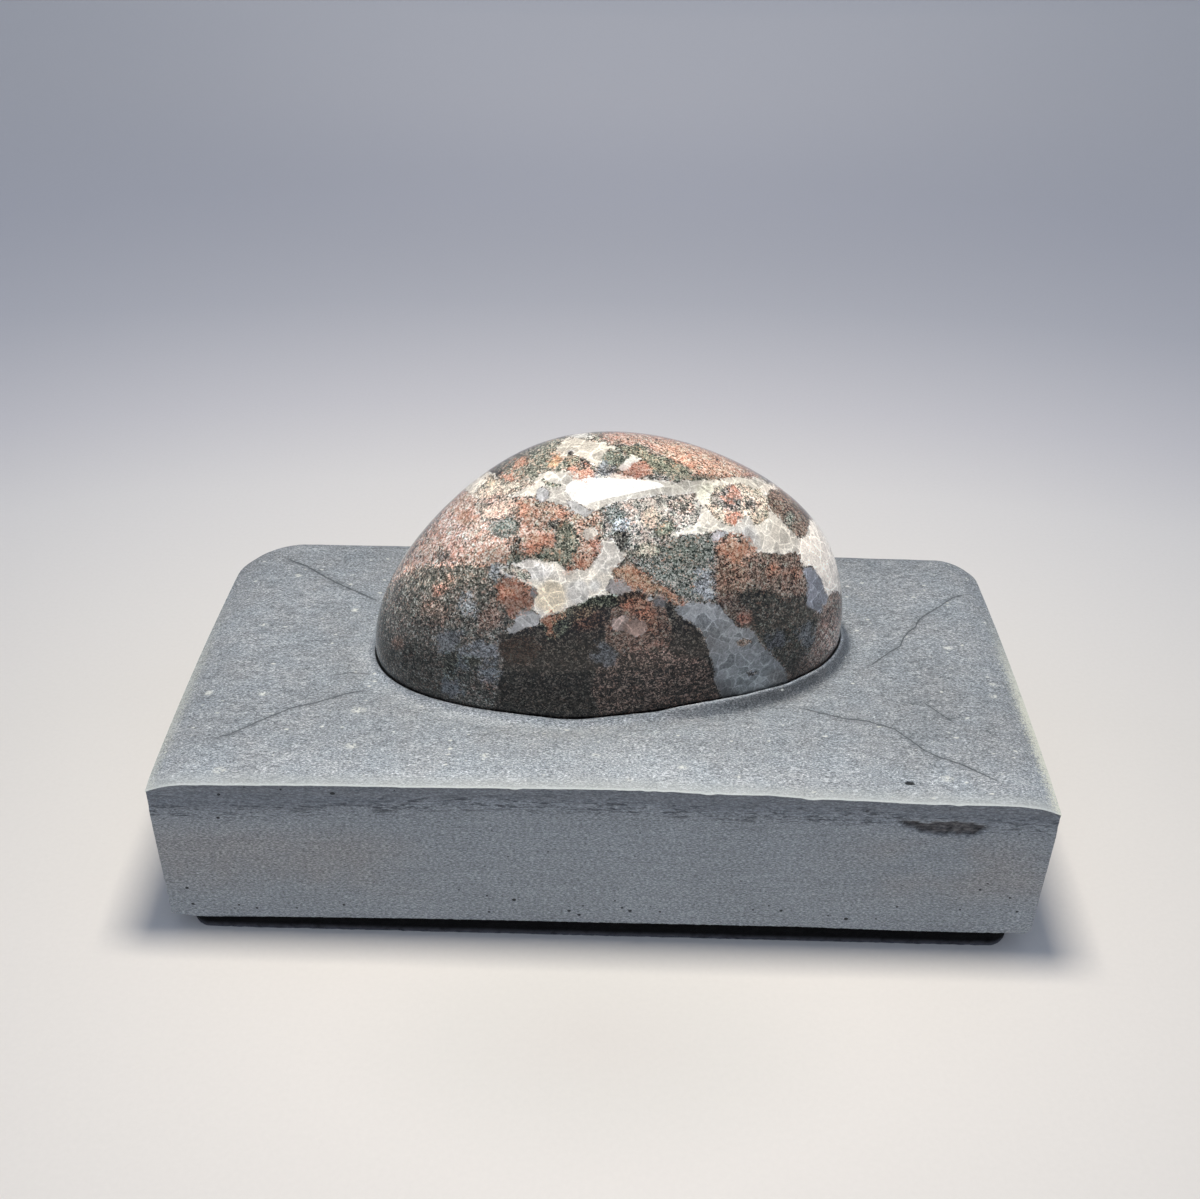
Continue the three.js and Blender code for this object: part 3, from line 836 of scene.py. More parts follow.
def paint(fields, tints, patch, distance, where):
    """Lays one patch over the fields of all kinds, where its distance is positive."""
    tint = np.array(patch["tint"], float)
    if patch["kind"] is None:
        share = smoothstep(-patch["feather"], patch["feather"], distance)[:, None]
        tints[where] *= mix(1, tint, share)
        return
    distance = np.clip(distance, -FIELD_LIMIT, FIELD_LIMIT)
    index = KINDS.index(patch["kind"])
    own = np.maximum(fields[index, where], distance)
    stain = patch["kind"] in SOFT_ROCKS
    if not stain:
        fields[:, where] = np.minimum(fields[:, where], -distance)
    fields[index, where] = own
    softness = STAIN_TINT_SOFTNESS if stain else CLAST_TINT_SOFTNESS
    share = smoothstep(-softness, softness, distance)[:, None]
    tints[where] = mix(tints[where], tint, share)


def blank_fields(count, kind, tint):
    fields = np.full((len(KINDS), count), -FIELD_LIMIT)
    fields[KINDS.index(kind)] = FIELD_LIMIT
    return fields, np.tile(np.array(tint, float), (count, 1))


def patch_box(patch):
    """The lowest and highest pixel coordinates of a patch."""
    if "corners" in patch:
        corners = np.array(patch["corners"], float)
        return corners.min(0), corners.max(0)
    middle = np.array(patch["middle"])
    reach = max(patch["radii"])
    return middle - reach, middle + reach


def front_fields(points):
    fields, tints = blank_fields(len(points), "grey", PLAIN)
    places = picture_place(points)
    for size, amount, seeds in CLAST_WAVES:
        places = places + amount * noise_vectors(points, size, seeds)
    size, amount, seeds = STAIN_WAVE
    crooked = places + amount * noise_vectors(points, size, seeds)
    for patch in CLASTS:
        low, high = patch_box(patch)
        margin = FIELD_LIMIT + patch.get("feather", 0)
        at = crooked if patch["kind"] in SOFT_ROCKS else places
        where = np.flatnonzero(np.all((at > low - margin) & (at < high + margin), axis=1))
        paint(fields, tints, patch, picture_distance(patch, at[where]), where)
    return fields, tints


HIDDEN_CLASTS = 90
PIXELS_PER_MM = 5.5
HIDDEN_KINDS = ["pink", "white", "green", "brown", "cream", "dark", "smoky", "rust", "grey"]
HIDDEN_SHARES = [0.22, 0.17, 0.12, 0.12, 0.12, 0.06, 0.05, 0.07, 0.07]
HIDDEN_GROUND_TINT = (0.95, 0.95, 0.93)
HIDDEN_SEED = 41
HIDDEN_LARGEST = 11.0  # millimetres
HIDDEN_SMALLEST = 2.2
HIDDEN_WAVES = [(7, 2.2, (5.5, 25.5, 45.5)), (2, 0.7, (8.5, 28.5, 48.5))]  # all in millimetres


def hidden_fields(points):
    """Clasts for the sides and back: ovals of many sizes, seeded, in the same rocks."""
    fields, tints = blank_fields(len(points), "grey", HIDDEN_GROUND_TINT)
    draws = np.random.default_rng(HIDDEN_SEED)
    places = points
    for size, amount, seeds in HIDDEN_WAVES:
        places = places + amount * noise_vectors(points, size, seeds)
    for number in range(HIDDEN_CLASTS):
        azimuth = draws.uniform(-0.5, math.pi + 0.5)
        elevation = math.asin(draws.uniform(-0.1, 1.0))
        middle = stone_points(np.array([azimuth]), np.array([elevation]))[0]
        kind = str(draws.choice(HIDDEN_KINDS, p=HIDDEN_SHARES))
        size = mix(HIDDEN_LARGEST, HIDDEN_SMALLEST, (number / HIDDEN_CLASTS) ** 0.6)
        radii = size * draws.uniform(0.6, 1.3, 3)
        axes = np.linalg.qr(draws.normal(size=(3, 3)))[0]
        tint = draws.uniform(0.8, 1.15) * (1 + draws.uniform(-0.05, 0.05, 3))
        away = ((places - middle) @ axes) / radii
        distance = (1 - np.linalg.norm(away, axis=1)) * min(radii) * PIXELS_PER_MM
        where = np.flatnonzero(distance > -FIELD_LIMIT)
        paint(fields, tints, {"kind": kind, "tint": tint}, distance[where], where)
    return fields, tints


def stops_of(grains):
    """Ramp stops, each in the middle of its grain's share."""
    stops = []
    total = 0.0
    for share, colour in grains:
        stops.append((total + share / 2, colour))
        total += share
    return stops


CRYSTAL_SIZE = 2.3  # millimetres, as are the other sizes here
SMALL_CRYSTAL_SIZE = 0.8
COARSE_GRAIN_SIZE = 0.38
FINE_GRAIN_SIZE = 0.21
HUE_DRIFT = [(0.34, (230, 249, 247)), (0.47, (252, 254, 255)), (0.56, (255, 247, 246)),
             (0.68, (255, 219, 207))]
# How borders break up along the grains: noise as (lump size, detail, roughness, amount), how far
# whole grains cross the border, and the distance to each side over which the rock fades.
BORDERS = {
    "sharp": ((0.8, 5.0, 0.65, 6.0), 2.4, 0.6),
    "grainy": ((0.8, 4.0, 0.6, 13.0), 9.0, 1.2),
    "soft": ((1.2, 4.0, 0.6, 16.0), 6.0, 2.2),
}


def border_style(kind):
    if kind in SOFT_ROCKS:
        return "soft"
    return "sharp" if kind in QUARTZES or kind == "dark" else "grainy"


def rock_colour(graph, value, kind, hue):
    colour = graph.ramp(value, stops_of(ROCKS[kind]))
    return graph.mix(HUE_SHARES[kind], colour, graph.tinted(colour, hue))


def quartz_nodes(graph, place):
    """How milky the quartz is, crystal by crystal, and how strong its pale seams are."""
    crystal_place = graph.warped(graph.warped(place, 2.2, 1.25), 0.5, 0.16)
    crystals = graph.cell_values(graph.voronoi(crystal_place, CRYSTAL_SIZE))
    to_seam = graph.seam_distance(crystal_place, CRYSTAL_SIZE)
    to_small_seam = graph.seam_distance(graph.warped(place, 0.6, 0.6), SMALL_CRYSTAL_SIZE)
    milk = graph.weighted((crystals[0], 0.42), (graph.noise(place, 1.0, 5.0, 0.7), 0.9))
    seam = graph.weighted((graph.span(to_seam, 0.07, 0.0), 0.95),
                          (graph.span(to_seam, 0.3, 0.0), 0.12),
                          (graph.span(to_small_seam, 0.13, 0.0), 0.5))
    broken = graph.span(graph.noise(place, 1.3, 2.0), 0.35, 0.62)
    seam = graph.times(seam, graph.plus(graph.times(broken, 0.7), 0.3))
    feathers = graph.noise(graph.warped(place, 1.0, 1.4), 0.24, 3.0, 0.75)
    seam = graph.plus(seam, graph.times(graph.span(feathers, 0.6, 0.7), 0.4))
    return graph.span(milk, 0.34, 0.96, False), seam


def quartz_colour(graph, milk, seam, kind):
    line, strength = QUARTZ_LINES[kind]
    colour = graph.ramp(milk, stops_of(QUARTZES[kind]))
    return graph.painted(colour, graph.times(seam, strength), line)


def cobble_material():
    graph = Graph("polished_puddingstone")
    place = graph.millimetres()
    bent = graph.warped(place, 0.4, 0.5)
    coarse = graph.cell_values(graph.voronoi(bent, COARSE_GRAIN_SIZE))
    fine = graph.cell_values(graph.voronoi(bent, FINE_GRAIN_SIZE))
    # The grains: cells of two sizes together, gathered in darker and paler clusters.
    grains = graph.weighted((coarse[0], 0.32), (fine[0], 0.6))
    grains = graph.plus(grains, graph.centred(graph.noise(place, 1.5, 4.0, 0.7), 0.6))
    grains = graph.span(grains, 0.13, 0.81, False)
    layers = graph.noise(graph.scaled(place, (0.25, 0.25, 1.0)), 0.5, 3.0, 0.7)
    layered = graph.plus(grains, graph.centred(layers, 0.5))
    milk, seam = quartz_nodes(graph, place)
    hue = graph.ramp(graph.noise(place, 1.3, 4.0, 0.68), HUE_DRIFT)

    border_noise = {}
    for style, ((size, detail, roughness, amount), crossing, _) in BORDERS.items():
        wavy = graph.centred(graph.noise(place, size, detail, roughness), amount)
        whole_grains = coarse[1] if style == "sharp" else fine[1]
        border_noise[style] = graph.plus(wavy, graph.centred(whole_grains, crossing))

    colour = None
    for kind in KINDS:
        if kind in QUARTZES:
            own = quartz_colour(graph, milk, seam, kind)
        else:
            own = rock_colour(graph, layered if kind in ("brown", "dark") else grains, kind, hue)
        if colour is None:  # the first kind lies under all the others
            colour = own
            continue
        style = border_style(kind)
        reach = BORDERS[style][2]
        inside = graph.plus(graph.attribute("field_" + kind), border_noise[style])
        colour = graph.mix(graph.span(inside, -reach, reach), colour, own)
    colour = graph.tinted(colour, graph.attribute("tint", "Color"))
    speckle = graph.plus(graph.times(graph.noise(place, 0.22, 2.0, 0.7), 1.2), 0.325)
    colour = graph.tinted(colour, speckle)
    roughness = graph.plus(graph.times(coarse[2], 0.02), 0.02)
    return graph.surface({"Base Color": colour, "Roughness": roughness, "IOR": 1.54,
                          "Specular IOR Level": 0.38})


def grime_shade():
    """Brightness of each of the cobble's points: a painted contact shadow darkens its foot along
    the seat.
    """
    from_rim = np.zeros(2 + (STONE_BURIED_RINGS + STONE_SHOWN_RINGS - 1) * STONE_STEPS)
    ring_height = STONE_FRONT * math.pi / 2 / STONE_SHOWN_RINGS
    heights = np.arange(1, STONE_SHOWN_RINGS) * ring_height
    from_rim[1 + STONE_BURIED_RINGS * STONE_STEPS:-1] = np.repeat(heights, STONE_STEPS)
    from_rim[-1] = STONE_TOP
    return 1 - CONTACT_SHADOW_STRENGTH * np.exp(-((from_rim / CONTACT_SHADOW_REACH) ** 2))


def add_cobble():
    azimuth = (np.arange(STONE_STEPS) + 0.5) / STONE_STEPS * math.tau - math.pi
    rim = rim_elevation(azimuth)
    rings = []
    for ring in range(1, STONE_BURIED_RINGS + 1):
        rings.append(stone_points(azimuth, mix(-math.pi / 2, rim, ring / STONE_BURIED_RINGS)))
    for ring in range(1, STONE_SHOWN_RINGS):
        rings.append(stone_points(azimuth, mix(rim, math.pi / 2, ring / STONE_SHOWN_RINGS)))
    bottom, top = stone_points(np.zeros((2, 1)), np.array([[-math.pi / 2], [math.pi / 2]]))
    points = np.concatenate([bottom, *rings, top])
    cobble = make_piece("polished_cobble", points, ring_faces(len(rings), STONE_STEPS),
                        cobble_material())
    normals = np.zeros(len(points) * 3, np.float32)
    cobble.data.vertex_normals.foreach_get("vector", normals)
    to_camera = CAMERA_PLACE - points
    to_camera /= np.linalg.norm(to_camera, axis=1)[:, None]
    facing = (normals.reshape(-1, 3) * to_camera).sum(1)
    front, front_tints = front_fields(points)
    hidden, hidden_tints = hidden_fields(points)
    # The listed clasts pass over to the seeded ones where the stone turns away in the picture.
    shown = smoothstep(0.0, 0.1, facing + 0.03 * noise_at(points, 4, 71.3))
    for index, kind in enumerate(KINDS):
        set_attribute(cobble, "field_" + kind, mix(hidden[index], front[index], shown))
    # The tints also carry the painted contact shadow at the cobble's foot.
    tints = mix(hidden_tints, front_tints, shown[:, None]) * grime_shade()[:, None]
    set_colour_attribute(cobble, "tint", tints)
    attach(cobble, "root")
    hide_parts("cobble")


# ---- the concrete block

FRONT_STEP = 0.45
OTHER_STEP = 1.15
TOP_RINGS = 60
LIP_RINGS = 20
LIP_ZONE = 6.0
SIDE_RINGS = 56
SOCKET_RINGS = 8
UNDER_INSET = 0.9
OFF_TOP = 1e3  # stands for the distance past the socket of points that aren't on the top

# The front's upper and lower edges, as (place along X, rise over the straight edge).
UPPER_EDGE = [(-75.5, -0.4), (-70, -0.28), (-62, -0.08), (-56, 0.05), (-47, 0.26), (-38, 0.2),
              (-26, 0.1), (-12, 0.0), (5, 0.05), (9, 0.25), (14, 0.1), (22, 0.14), (27, 0.4),
              (33, 0.1), (45, 0.12), (52, -0.1), (64, 0.0), (75.5, -0.12)]
LOWER_EDGE = [(-75.5, -0.5), (-74, -0.55), (-72, -0.95), (-70, -1.15), (-62, -0.85), (-52, -0.6),
              (-35, -0.22), (-17, 0.0), (0, 0.12), (17, 0.3), (35, 0.47), (52, 0.22), (66, 0.28),
              (70.6, 0.33), (71.6, 0.95), (73, 1.5), (74.3, 1.25), (75.5, 1.35)]
NICKS = [(-14.0, 0.9), (7.6, 0.8), (9.8, 1.1), (17.4, 1.0), (34.2, 1.4), (58.0, 0.9)]
NICK_DEPTH = 0.2
BAND_DEPTH = 0.32  # how far the front stands back just under its upper edge
BAND_HEIGHT = 5.0
EDGE_RISE_REACH = 2.2  # how far in from the front its edge's rise and nicks are felt
TOP_WAVES = [(0.045, 3.1, 6.2), (0.025, 1.1, 16.2)]  # height, lump size and seed
WALL_ROUGHNESS = 0.04
FOOT_ROUGHNESS = 0.12
FOOT_BLEND = 6.0  # how far back the ends' foot takes to leave the front's
CHIP_DEPTH = 0.22  # along the front's upright corners
LIP_CREST = 0.2
LIP_WIDTH = 0.9
LIP_SPREAD = 0.6  # the lip's extra width for each millimetre of its height
LIP_RAGGEDNESS = 0.12
DISH_REACH = 7.0
LEDGE_REACH = 5.0

# Marks on the top and the front, in picture pixels.
BUG_HOLE = (910.4, 781.5)
BUG_HOLE_RADII = (0.95, 0.55)  # millimetres
BUG_HOLE_DEPTH = 0.7
SPALL = [(892, 821), (905, 820.5), (925, 822.5), (950, 822), (972, 824), (986, 826), (990, 829),
         (982, 834), (968, 838), (952, 837), (936, 836), (922, 834), (908, 829)]
SPALL_DEPTH = 0.45
CRACKS = {
    "back_left": (0.34, [(280, 553), (289, 557), (307, 564), (326, 575), (344, 584), (365, 593),
                         (384, 602)]),
    "front_left": (0.26, [(205, 738), (230, 731), (259, 718), (289, 706), (315, 700), (330, 696),
                          (352, 690), (378, 688)]),
    "front_right": (0.26, [(786, 704), (806, 708), (824, 712), (842, 716), (868, 719), (894, 726),
                           (909, 736), (924, 747), (938, 754), (961, 761), (979, 769.5),
                           (1005, 781), (1020, 785)]),
    "back_right": (0.24, [(858, 668), (874, 661), (890, 650), (901, 643), (905, 633), (916, 624),
                          (919, 617), (931, 609), (940, 604), (953, 595), (977, 587)]),
    "faint": (0.2, [(921, 698), (935, 707), (957, 722)]),
    "upper_left": (0.18, [(330, 673), (352, 670), (374, 671)]),
}
CRACK_REACH = 3.0  # millimetres to each side that a crack's field describes
LEDGE = [(150, 807), (200, 810), (300, 809), (330, 807), (410, 803), (480, 801), (560, 803),
         (640, 806), (700, 811), (780, 813), (860, 815), (900, 818), (985, 823), (1040, 824)]
PINHOLES = [  # picture pixels across and down, and a radius in millimetres
    (187, 888, 0.26), (193, 904, 0.24), (257, 908, 0.2), (239, 905, 0.18), (297, 908, 0.17),
    (344, 905, 0.22), (459, 890, 0.13), (487, 896, 0.17), (489, 912, 0.2), (514, 900, 0.3),
    (569, 911, 0.26), (579, 915, 0.26), (583, 906, 0.15), (615, 901, 0.17), (622, 908, 0.21),
    (630, 911, 0.27), (660, 912, 0.19), (753, 910, 0.17), (769, 906, 0.15), (781, 911, 0.24),
    (828, 916, 0.15), (846, 919, 0.3), (876, 919, 0.16), (897, 907, 0.18), (960, 910, 0.17),
    (980, 890, 0.19), (1017, 912, 0.2), (218, 796, 0.24), (218, 818, 0.24), (332, 795, 0.36),
    (280, 791, 0.18), (394, 792, 0.14), (640, 833, 0.12), (508, 857, 0.13), (548, 852, 0.12),
    (1010, 898, 0.2), (988, 884, 0.15),
]
FLECKS = [  # the same for pale grains on the top
    (948, 776, 1.1), (948, 645, 0.9), (298, 573, 1.0), (358, 708, 1.3), (219, 767, 1.2),
    (683, 769, 0.8), (738, 777, 0.5), (315, 587, 0.4), (932, 654, 0.4), (355, 608, 0.9),
    (264, 622, 0.8), (208, 689, 1.0), (263, 691, 0.9), (596, 758, 0.7), (630, 782, 0.6),
    (868, 617, 0.5), (994, 681, 0.9), (994, 693, 0.9), (351, 744, 1.1), (485, 756, 0.8),
]


def outline_azimuths():
    """Plan directions that are closer together along the front face."""
    dense = np.linspace(-math.pi, math.pi, 40001)[:-1] + 1e-4
    distance = distance_to_side(dense)
    x = STONE_CENTRE[0] + distance * np.cos(dense)
    y = STONE_CENTRE[1] + distance * np.sin(dense)
    length = np.hypot(np.diff(x, append=x[0]), np.diff(y, append=y[0]))
    weight = np.where(y < -HALF_DEPTH + 0.01, 1 / FRONT_STEP, 1 / OTHER_STEP)
    travelled = np.cumsum(length * weight)
    count = int(travelled[-1])
    azimuths = np.interp((np.arange(count) + 0.5) / count * travelled[-1], travelled, dense)
    for side in (-1, 1):
        corner = math.atan2(-HALF_DEPTH - STONE_CENTRE[1], side * HALF_LENGTH - STONE_CENTRE[0])
        azimuths[np.argmin(np.abs(azimuths - corner))] = corner
    return azimuths


def curve_at(x, knots):
    places, values = zip(*knots)
    return np.interp(x, places, values)


def along_x(x, size, seed):
    """Noise that only changes along X."""
    return noise_at(np.stack([x, 0 * x, 0 * x], axis=-1), size, seed)


def front_edge_rise(x):
    rise = curve_at(x, UPPER_EDGE) + 0.07 * along_x(x, 2.6, 2.3) + 0.04 * along_x(x, 0.9, 9.1)
    for middle, width in NICKS:
        rise = rise - NICK_DEPTH * np.exp(-(((x - middle) / width) ** 4))
    return rise


def lip_profile(past_socket, azimuth):
    """Height over the plain top beside the stone: the cement lip, the dish and the hollow."""
    lip = lip_height(azimuth)
    ragged = noise_at(8 * unit(azimuth, 0 * azimuth), 1.0, 4.4)
    lip_end = LIP_WIDTH + LIP_SPREAD * lip
    lip = lip * (1 + LIP_RAGGEDNESS * ragged) * (1 - smoothstep(LIP_CREST, lip_end, past_socket))
    dish = front_dip(azimuth) * (1 - smoothstep(0.0, DISH_REACH, past_socket))
    return lip - dish - HOLLOW_DEPTH * plateau(past_socket, 0.6, 2.0, 2.4, 6.5)


def top_ring(azimuth, distance, socket):
    x = STONE_CENTRE[0] + distance * np.cos(azimuth)
    y = STONE_CENTRE[1] + distance * np.sin(azimuth)
    z = top_height(x, y) + lip_profile(distance - socket, azimuth)
    z = z + front_edge_rise(x) * np.exp(-(((y + HALF_DEPTH) / EDGE_RISE_REACH) ** 2))
    flat = np.stack([x, y, 0 * x], axis=-1)
    for amount, size, seed in TOP_WAVES:
        z = z + amount * noise_at(flat, size, seed)
    hole = on_plane(BUG_HOLE, 2, BLOCK_TOP)
    away = np.hypot((x - hole[0]) / BUG_HOLE_RADII[0], (y - hole[1]) / BUG_HOLE_RADII[1])
    z = z - BUG_HOLE_DEPTH * (1 - smoothstep(0.6, 1.1, away))
    return bow_ends(np.stack([x, y, z], axis=-1))


def spall_depth(wall):
    """How deep the broken patch near the right end of the front is at the wall's points."""
    corners = on_plane(SPALL, 1, -HALF_DEPTH)[:, [0, 2]]
    ragged = 0.35 * noise_at(wall, 1.2, 33.0) + 0.2 * noise_at(wall, 0.5, 35.0)
    inside = outline_distance(wall[:, [0, 2]], corners) + ragged
    return SPALL_DEPTH * smoothstep(0.0, 0.55, inside) * (1 + 0.35 * noise_at(wall, 0.9, 37.0))


def wall_ring(edge, share):
    """The wall at a share of its height, from 0 at its foot to 1 at its upper edge."""
    x = edge[:, 0]
    front = edge[:, 1] < -HALF_DEPTH + 0.02
    foot = PAD_THICKNESS + FOOT_ROUGHNESS * (1 + noise_at(edge, 1.4, 51.0))
    front_foot = PAD_THICKNESS + curve_at(x, LOWER_EDGE) + 0.09 * along_x(x, 1.1, 53.0)
    past_front = smoothstep(0.0, FOOT_BLEND, edge[:, 1] + HALF_DEPTH)
    wall = edge.copy()
    wall[:, 2] = mix(mix(front_foot, foot, past_front), edge[:, 2], share)
    under = edge[:, 2] - wall[:, 2]
    band = smoothstep(0.0, 0.25, under) * (1 - smoothstep(0.45, 1.0, under / BAND_HEIGHT))
    stepped = 0.3 * noise_at(wall * (0.12, 0, 1.0), 0.8, 57.0)
    set_back = BAND_DEPTH * band * (1 + stepped) + spall_depth(wall)
    rough = WALL_ROUGHNESS * (1 + noise_at(wall, 0.8, 59.0)) * smoothstep(0.0, 0.3, under)
    chipped = CHIP_DEPTH * smoothstep(-0.2, 0.8, noise_at(wall, 1.0, 61.0))
    chipped = chipped * smoothstep(12.0, 27.0, under)
    near_corner = smoothstep(HALF_LENGTH - 1.6, HALF_LENGTH, np.abs(x))
    wall[:, 1] += np.where(front, set_back + rough, 0)
    wall[:, 0] -= np.sign(x) * near_corner * np.where(front, chipped + 0.5 * rough, rough)
    return wall


def over_ledge(points):
    """Height over the front's ledge."""
    line = on_plane(LEDGE, 1, -HALF_DEPTH)
    height = points[:, 2] - np.interp(points[:, 0], line[:, 0], line[:, 2])
    return np.clip(height, -LEDGE_REACH, LEDGE_REACH)


def crack_field(points, line):
    """Signed distance to a crack and its strength there, which fades at its ends."""
    corners = on_plane(line, 2, BLOCK_TOP + 0.3)[:, :2]
    lengths = np.linalg.norm(np.diff(corners, axis=0), axis=1)
    total = lengths.sum()
    best = np.full(len(points), 1e9)
    signed = np.full(len(points), CRACK_REACH)
    travelled = np.zeros(len(points))
    passed = 0.0
    for start, end, length in zip(corners, corners[1:], lengths):
        side = (end - start) / length
        away = points[:, :2] - start
        along = np.clip(away @ side, 0, length)
        distance = np.linalg.norm(away - along[:, None] * side, axis=1)
        nearer = distance < best
        across = away[:, 0] * side[1] - away[:, 1] * side[0]
        signed = np.where(nearer, np.where(across < 0, -distance, distance), signed)
        travelled = np.where(nearer, passed + along, travelled)
        best = np.minimum(best, distance)
        passed += length
    strength = smoothstep(0.0, 0.12, travelled / total) * smoothstep(1.0, 0.86, travelled / total)
    return np.clip(signed, -CRACK_REACH, CRACK_REACH), strength * (best < CRACK_REACH)


def top_tone(points, azimuth, past_socket):
    """Brightness of the top's paste over areas wider than its grain: painted light and painted
    shadow round the cobble and towards the front, and darker towards the right end and the back.
    """
    x, y = points[:, 0], points[:, 1]
    at_right = np.exp(-(((azimuth + 0.5) / 0.6) ** 2))
    at_left = smoothstep(-0.2, 0.7, -np.cos(azimuth))
    # Painted light: paler towards the front and in front of the cobble's middle.
    lit_front = 0.22 * smoothstep(-24, -36, y)
    lit_middle = 0.12 * np.exp(-((x / 42) ** 2) - (((y + 30) / 14) ** 2))
    # Darker towards the right end and towards the back.
    darker_right = 0.13 * np.exp(-(((x - 62) / 13) ** 2) - (((y + 12) / 14) ** 2))
    darker_back = 0.10 * smoothstep(15, 37, y)
    # Painted shadow in a ring outside the lip on the cobble's right; painted light in a ring on its
    # left and on the lip's crest on its right.
    painted_shadow_ring = 0.62 * at_right * plateau(past_socket, 0.3, 0.7, 0.8, 4.2)
    painted_light_ring = 0.22 * at_left * (1 - smoothstep(1.0, 6.0, past_socket))
    painted_lip_highlight = 0.5 * at_right * (1 - smoothstep(0.25, 0.5, past_socket))
    paler = (1 + lit_front) * (1 + lit_middle) * (1 + painted_light_ring) * (1 + painted_lip_highlight)
    return paler * (1 - darker_right) * (1 - darker_back) * (1 - painted_shadow_ring)


def marks(graph, place, spots, axis, level, core, narrowing):
    """1 inside any of the round marks that are seen at these picture pixels on a plane."""
    total = None
    for across, down, radius in spots:
        centre = on_plane((across, down), axis, level)
        away = graph.length(graph.scaled(graph.shifted(place, tuple(-centre)), narrowing))
        one = graph.span(away, radius, radius * core)
        total = one if total is None else graph.greatest(total, one)
    return total


# The concrete's colours.
TOP_GRAINS = [(0.3, (64, 69, 73)), (0.43, (112, 117, 121)), (0.535, (143, 148, 152)),
              (0.635, (181, 185, 188)), (0.74, (230, 232, 233))]
TOP_HUES = [(0.35, (247, 250, 255)), (0.65, (253, 252, 254))]
SIDE_GRAINS = [(0.28, (84, 89, 94)), (0.5, (141, 147, 152)), (0.72, (196, 202, 207))]
BROKEN_GRAINS = [(0.36, (26, 26, 30)), (0.53, (74, 73, 75)), (0.7, (122, 119, 118))]
PALE_FLECK = (226, 228, 222)
EDGE_LIGHT_STRIP = (178, 182, 182)
EDGE_HIGHLIGHT = (196, 202, 202)
FRINGE = (226, 227, 212)
WARM_TINT = (255, 244, 236)
BAND_SHADE = (94, 98, 106)
TORN_SHADE = (52, 55, 62)
LEDGE_LIGHT = (168, 173, 178)
PIT_SHADE = (48, 51, 55)
CRACK_SHADE = (72, 77, 82)
HOLE_SHADE = (24, 26, 29)


def top_colour(graph, place, x, y, grain):
    """Fine pale and dark grains, drawn out a little along X, in soft clouds."""
    top = graph.ramp(grain, TOP_GRAINS)
    drawn = graph.noise(graph.scaled(place, (0.14, 1.0, 1.0)), 1.1, 4.0, 0.72)
    clouds = graph.noise(graph.scaled(place, (0.6, 1.0, 1.0)), 11, 3.0, 0.6)
    shading = graph.weighted((drawn, 0.5), (clouds, 0.36))
    top = graph.tinted(top, graph.plus(shading, 0.635))
    top = graph.tinted(top, graph.ramp(graph.noise(place, 7, 3.0), TOP_HUES))
    # The tone attribute brings the top's painted light and shadow.
    top = graph.tinted(top, graph.attribute("tone"))
    flecks = graph.voronoi(graph.scaled(graph.warped(place, 0.8, 0.5), (0.5, 1.0, 1.0)), 1.6)
    fleck_size = graph.times(graph.span(graph.cell_values(flecks)[0], 0.35, 1.0), 0.19)
    fleck = graph.span(flecks.outputs["Distance"], fleck_size, graph.times(fleck_size, 0.4))
    listed = marks(graph, place, FLECKS, 2, BLOCK_TOP + 0.3, 0.1, (0.7, 1.0, 0.1))
    listed = graph.times(listed, graph.span(graph.noise(place, 0.5, 3.0), 0.38, 0.6))
    fleck = graph.greatest(graph.times(fleck, 0.75), graph.times(listed, 0.8))
    top = graph.painted(top, fleck, PALE_FLECK)
    # A smooth pale strip and a paler line along the front's edge, painted light where the rounded
    # edge catches the lamp, and a rough, yellowish fringe at the ends.
    strip = graph.times(graph.span(y, -34.2, -38.3), 0.55)
    top = graph.painted(top, strip, EDGE_LIGHT_STRIP)
    edge = graph.span(y, -HALF_DEPTH + 0.75, -HALF_DEPTH + 0.25)
    top = graph.painted(top, graph.times(edge, 0.6), EDGE_HIGHLIGHT)
    inset = graph.plus(graph.times(graph.math("ABSOLUTE", x), -1.0), HALF_LENGTH + 0.3)
    rightwards = graph.plus(graph.times(graph.span(x, 0.0, 20.0), 0.6), 0.4)
    frontwards = graph.span(y, 24.0, -15.0)
    rough_edge = graph.plus(graph.times(graph.span(inset, 3.4, 0.2, False), 0.75),
                            graph.centred(graph.noise(place, 0.34, 3.0, 0.8), 2.0))
    fringe = graph.times(graph.times(graph.span(rough_edge, 0.3, 0.75), rightwards), frontwards)
    return graph.painted(top, graph.times(fringe, 0.75), FRINGE)


def warm_stains(graph, x, z, clouds):
    """Two faint patches in the front: (from X, full at X, middle height, reach) of each."""
    stains = []
    for start, full, middle, reach in ((-20.0, -45.0, 17.0, 11.0), (30.0, 58.0, 19.0, 10.0)):
        level = graph.span(graph.away_from(z, middle), reach, 3.0)
        stains.append(graph.times(graph.span(x, start, full), level))
    return graph.times(graph.greatest(*stains), graph.span(clouds, 0.3, 0.6))


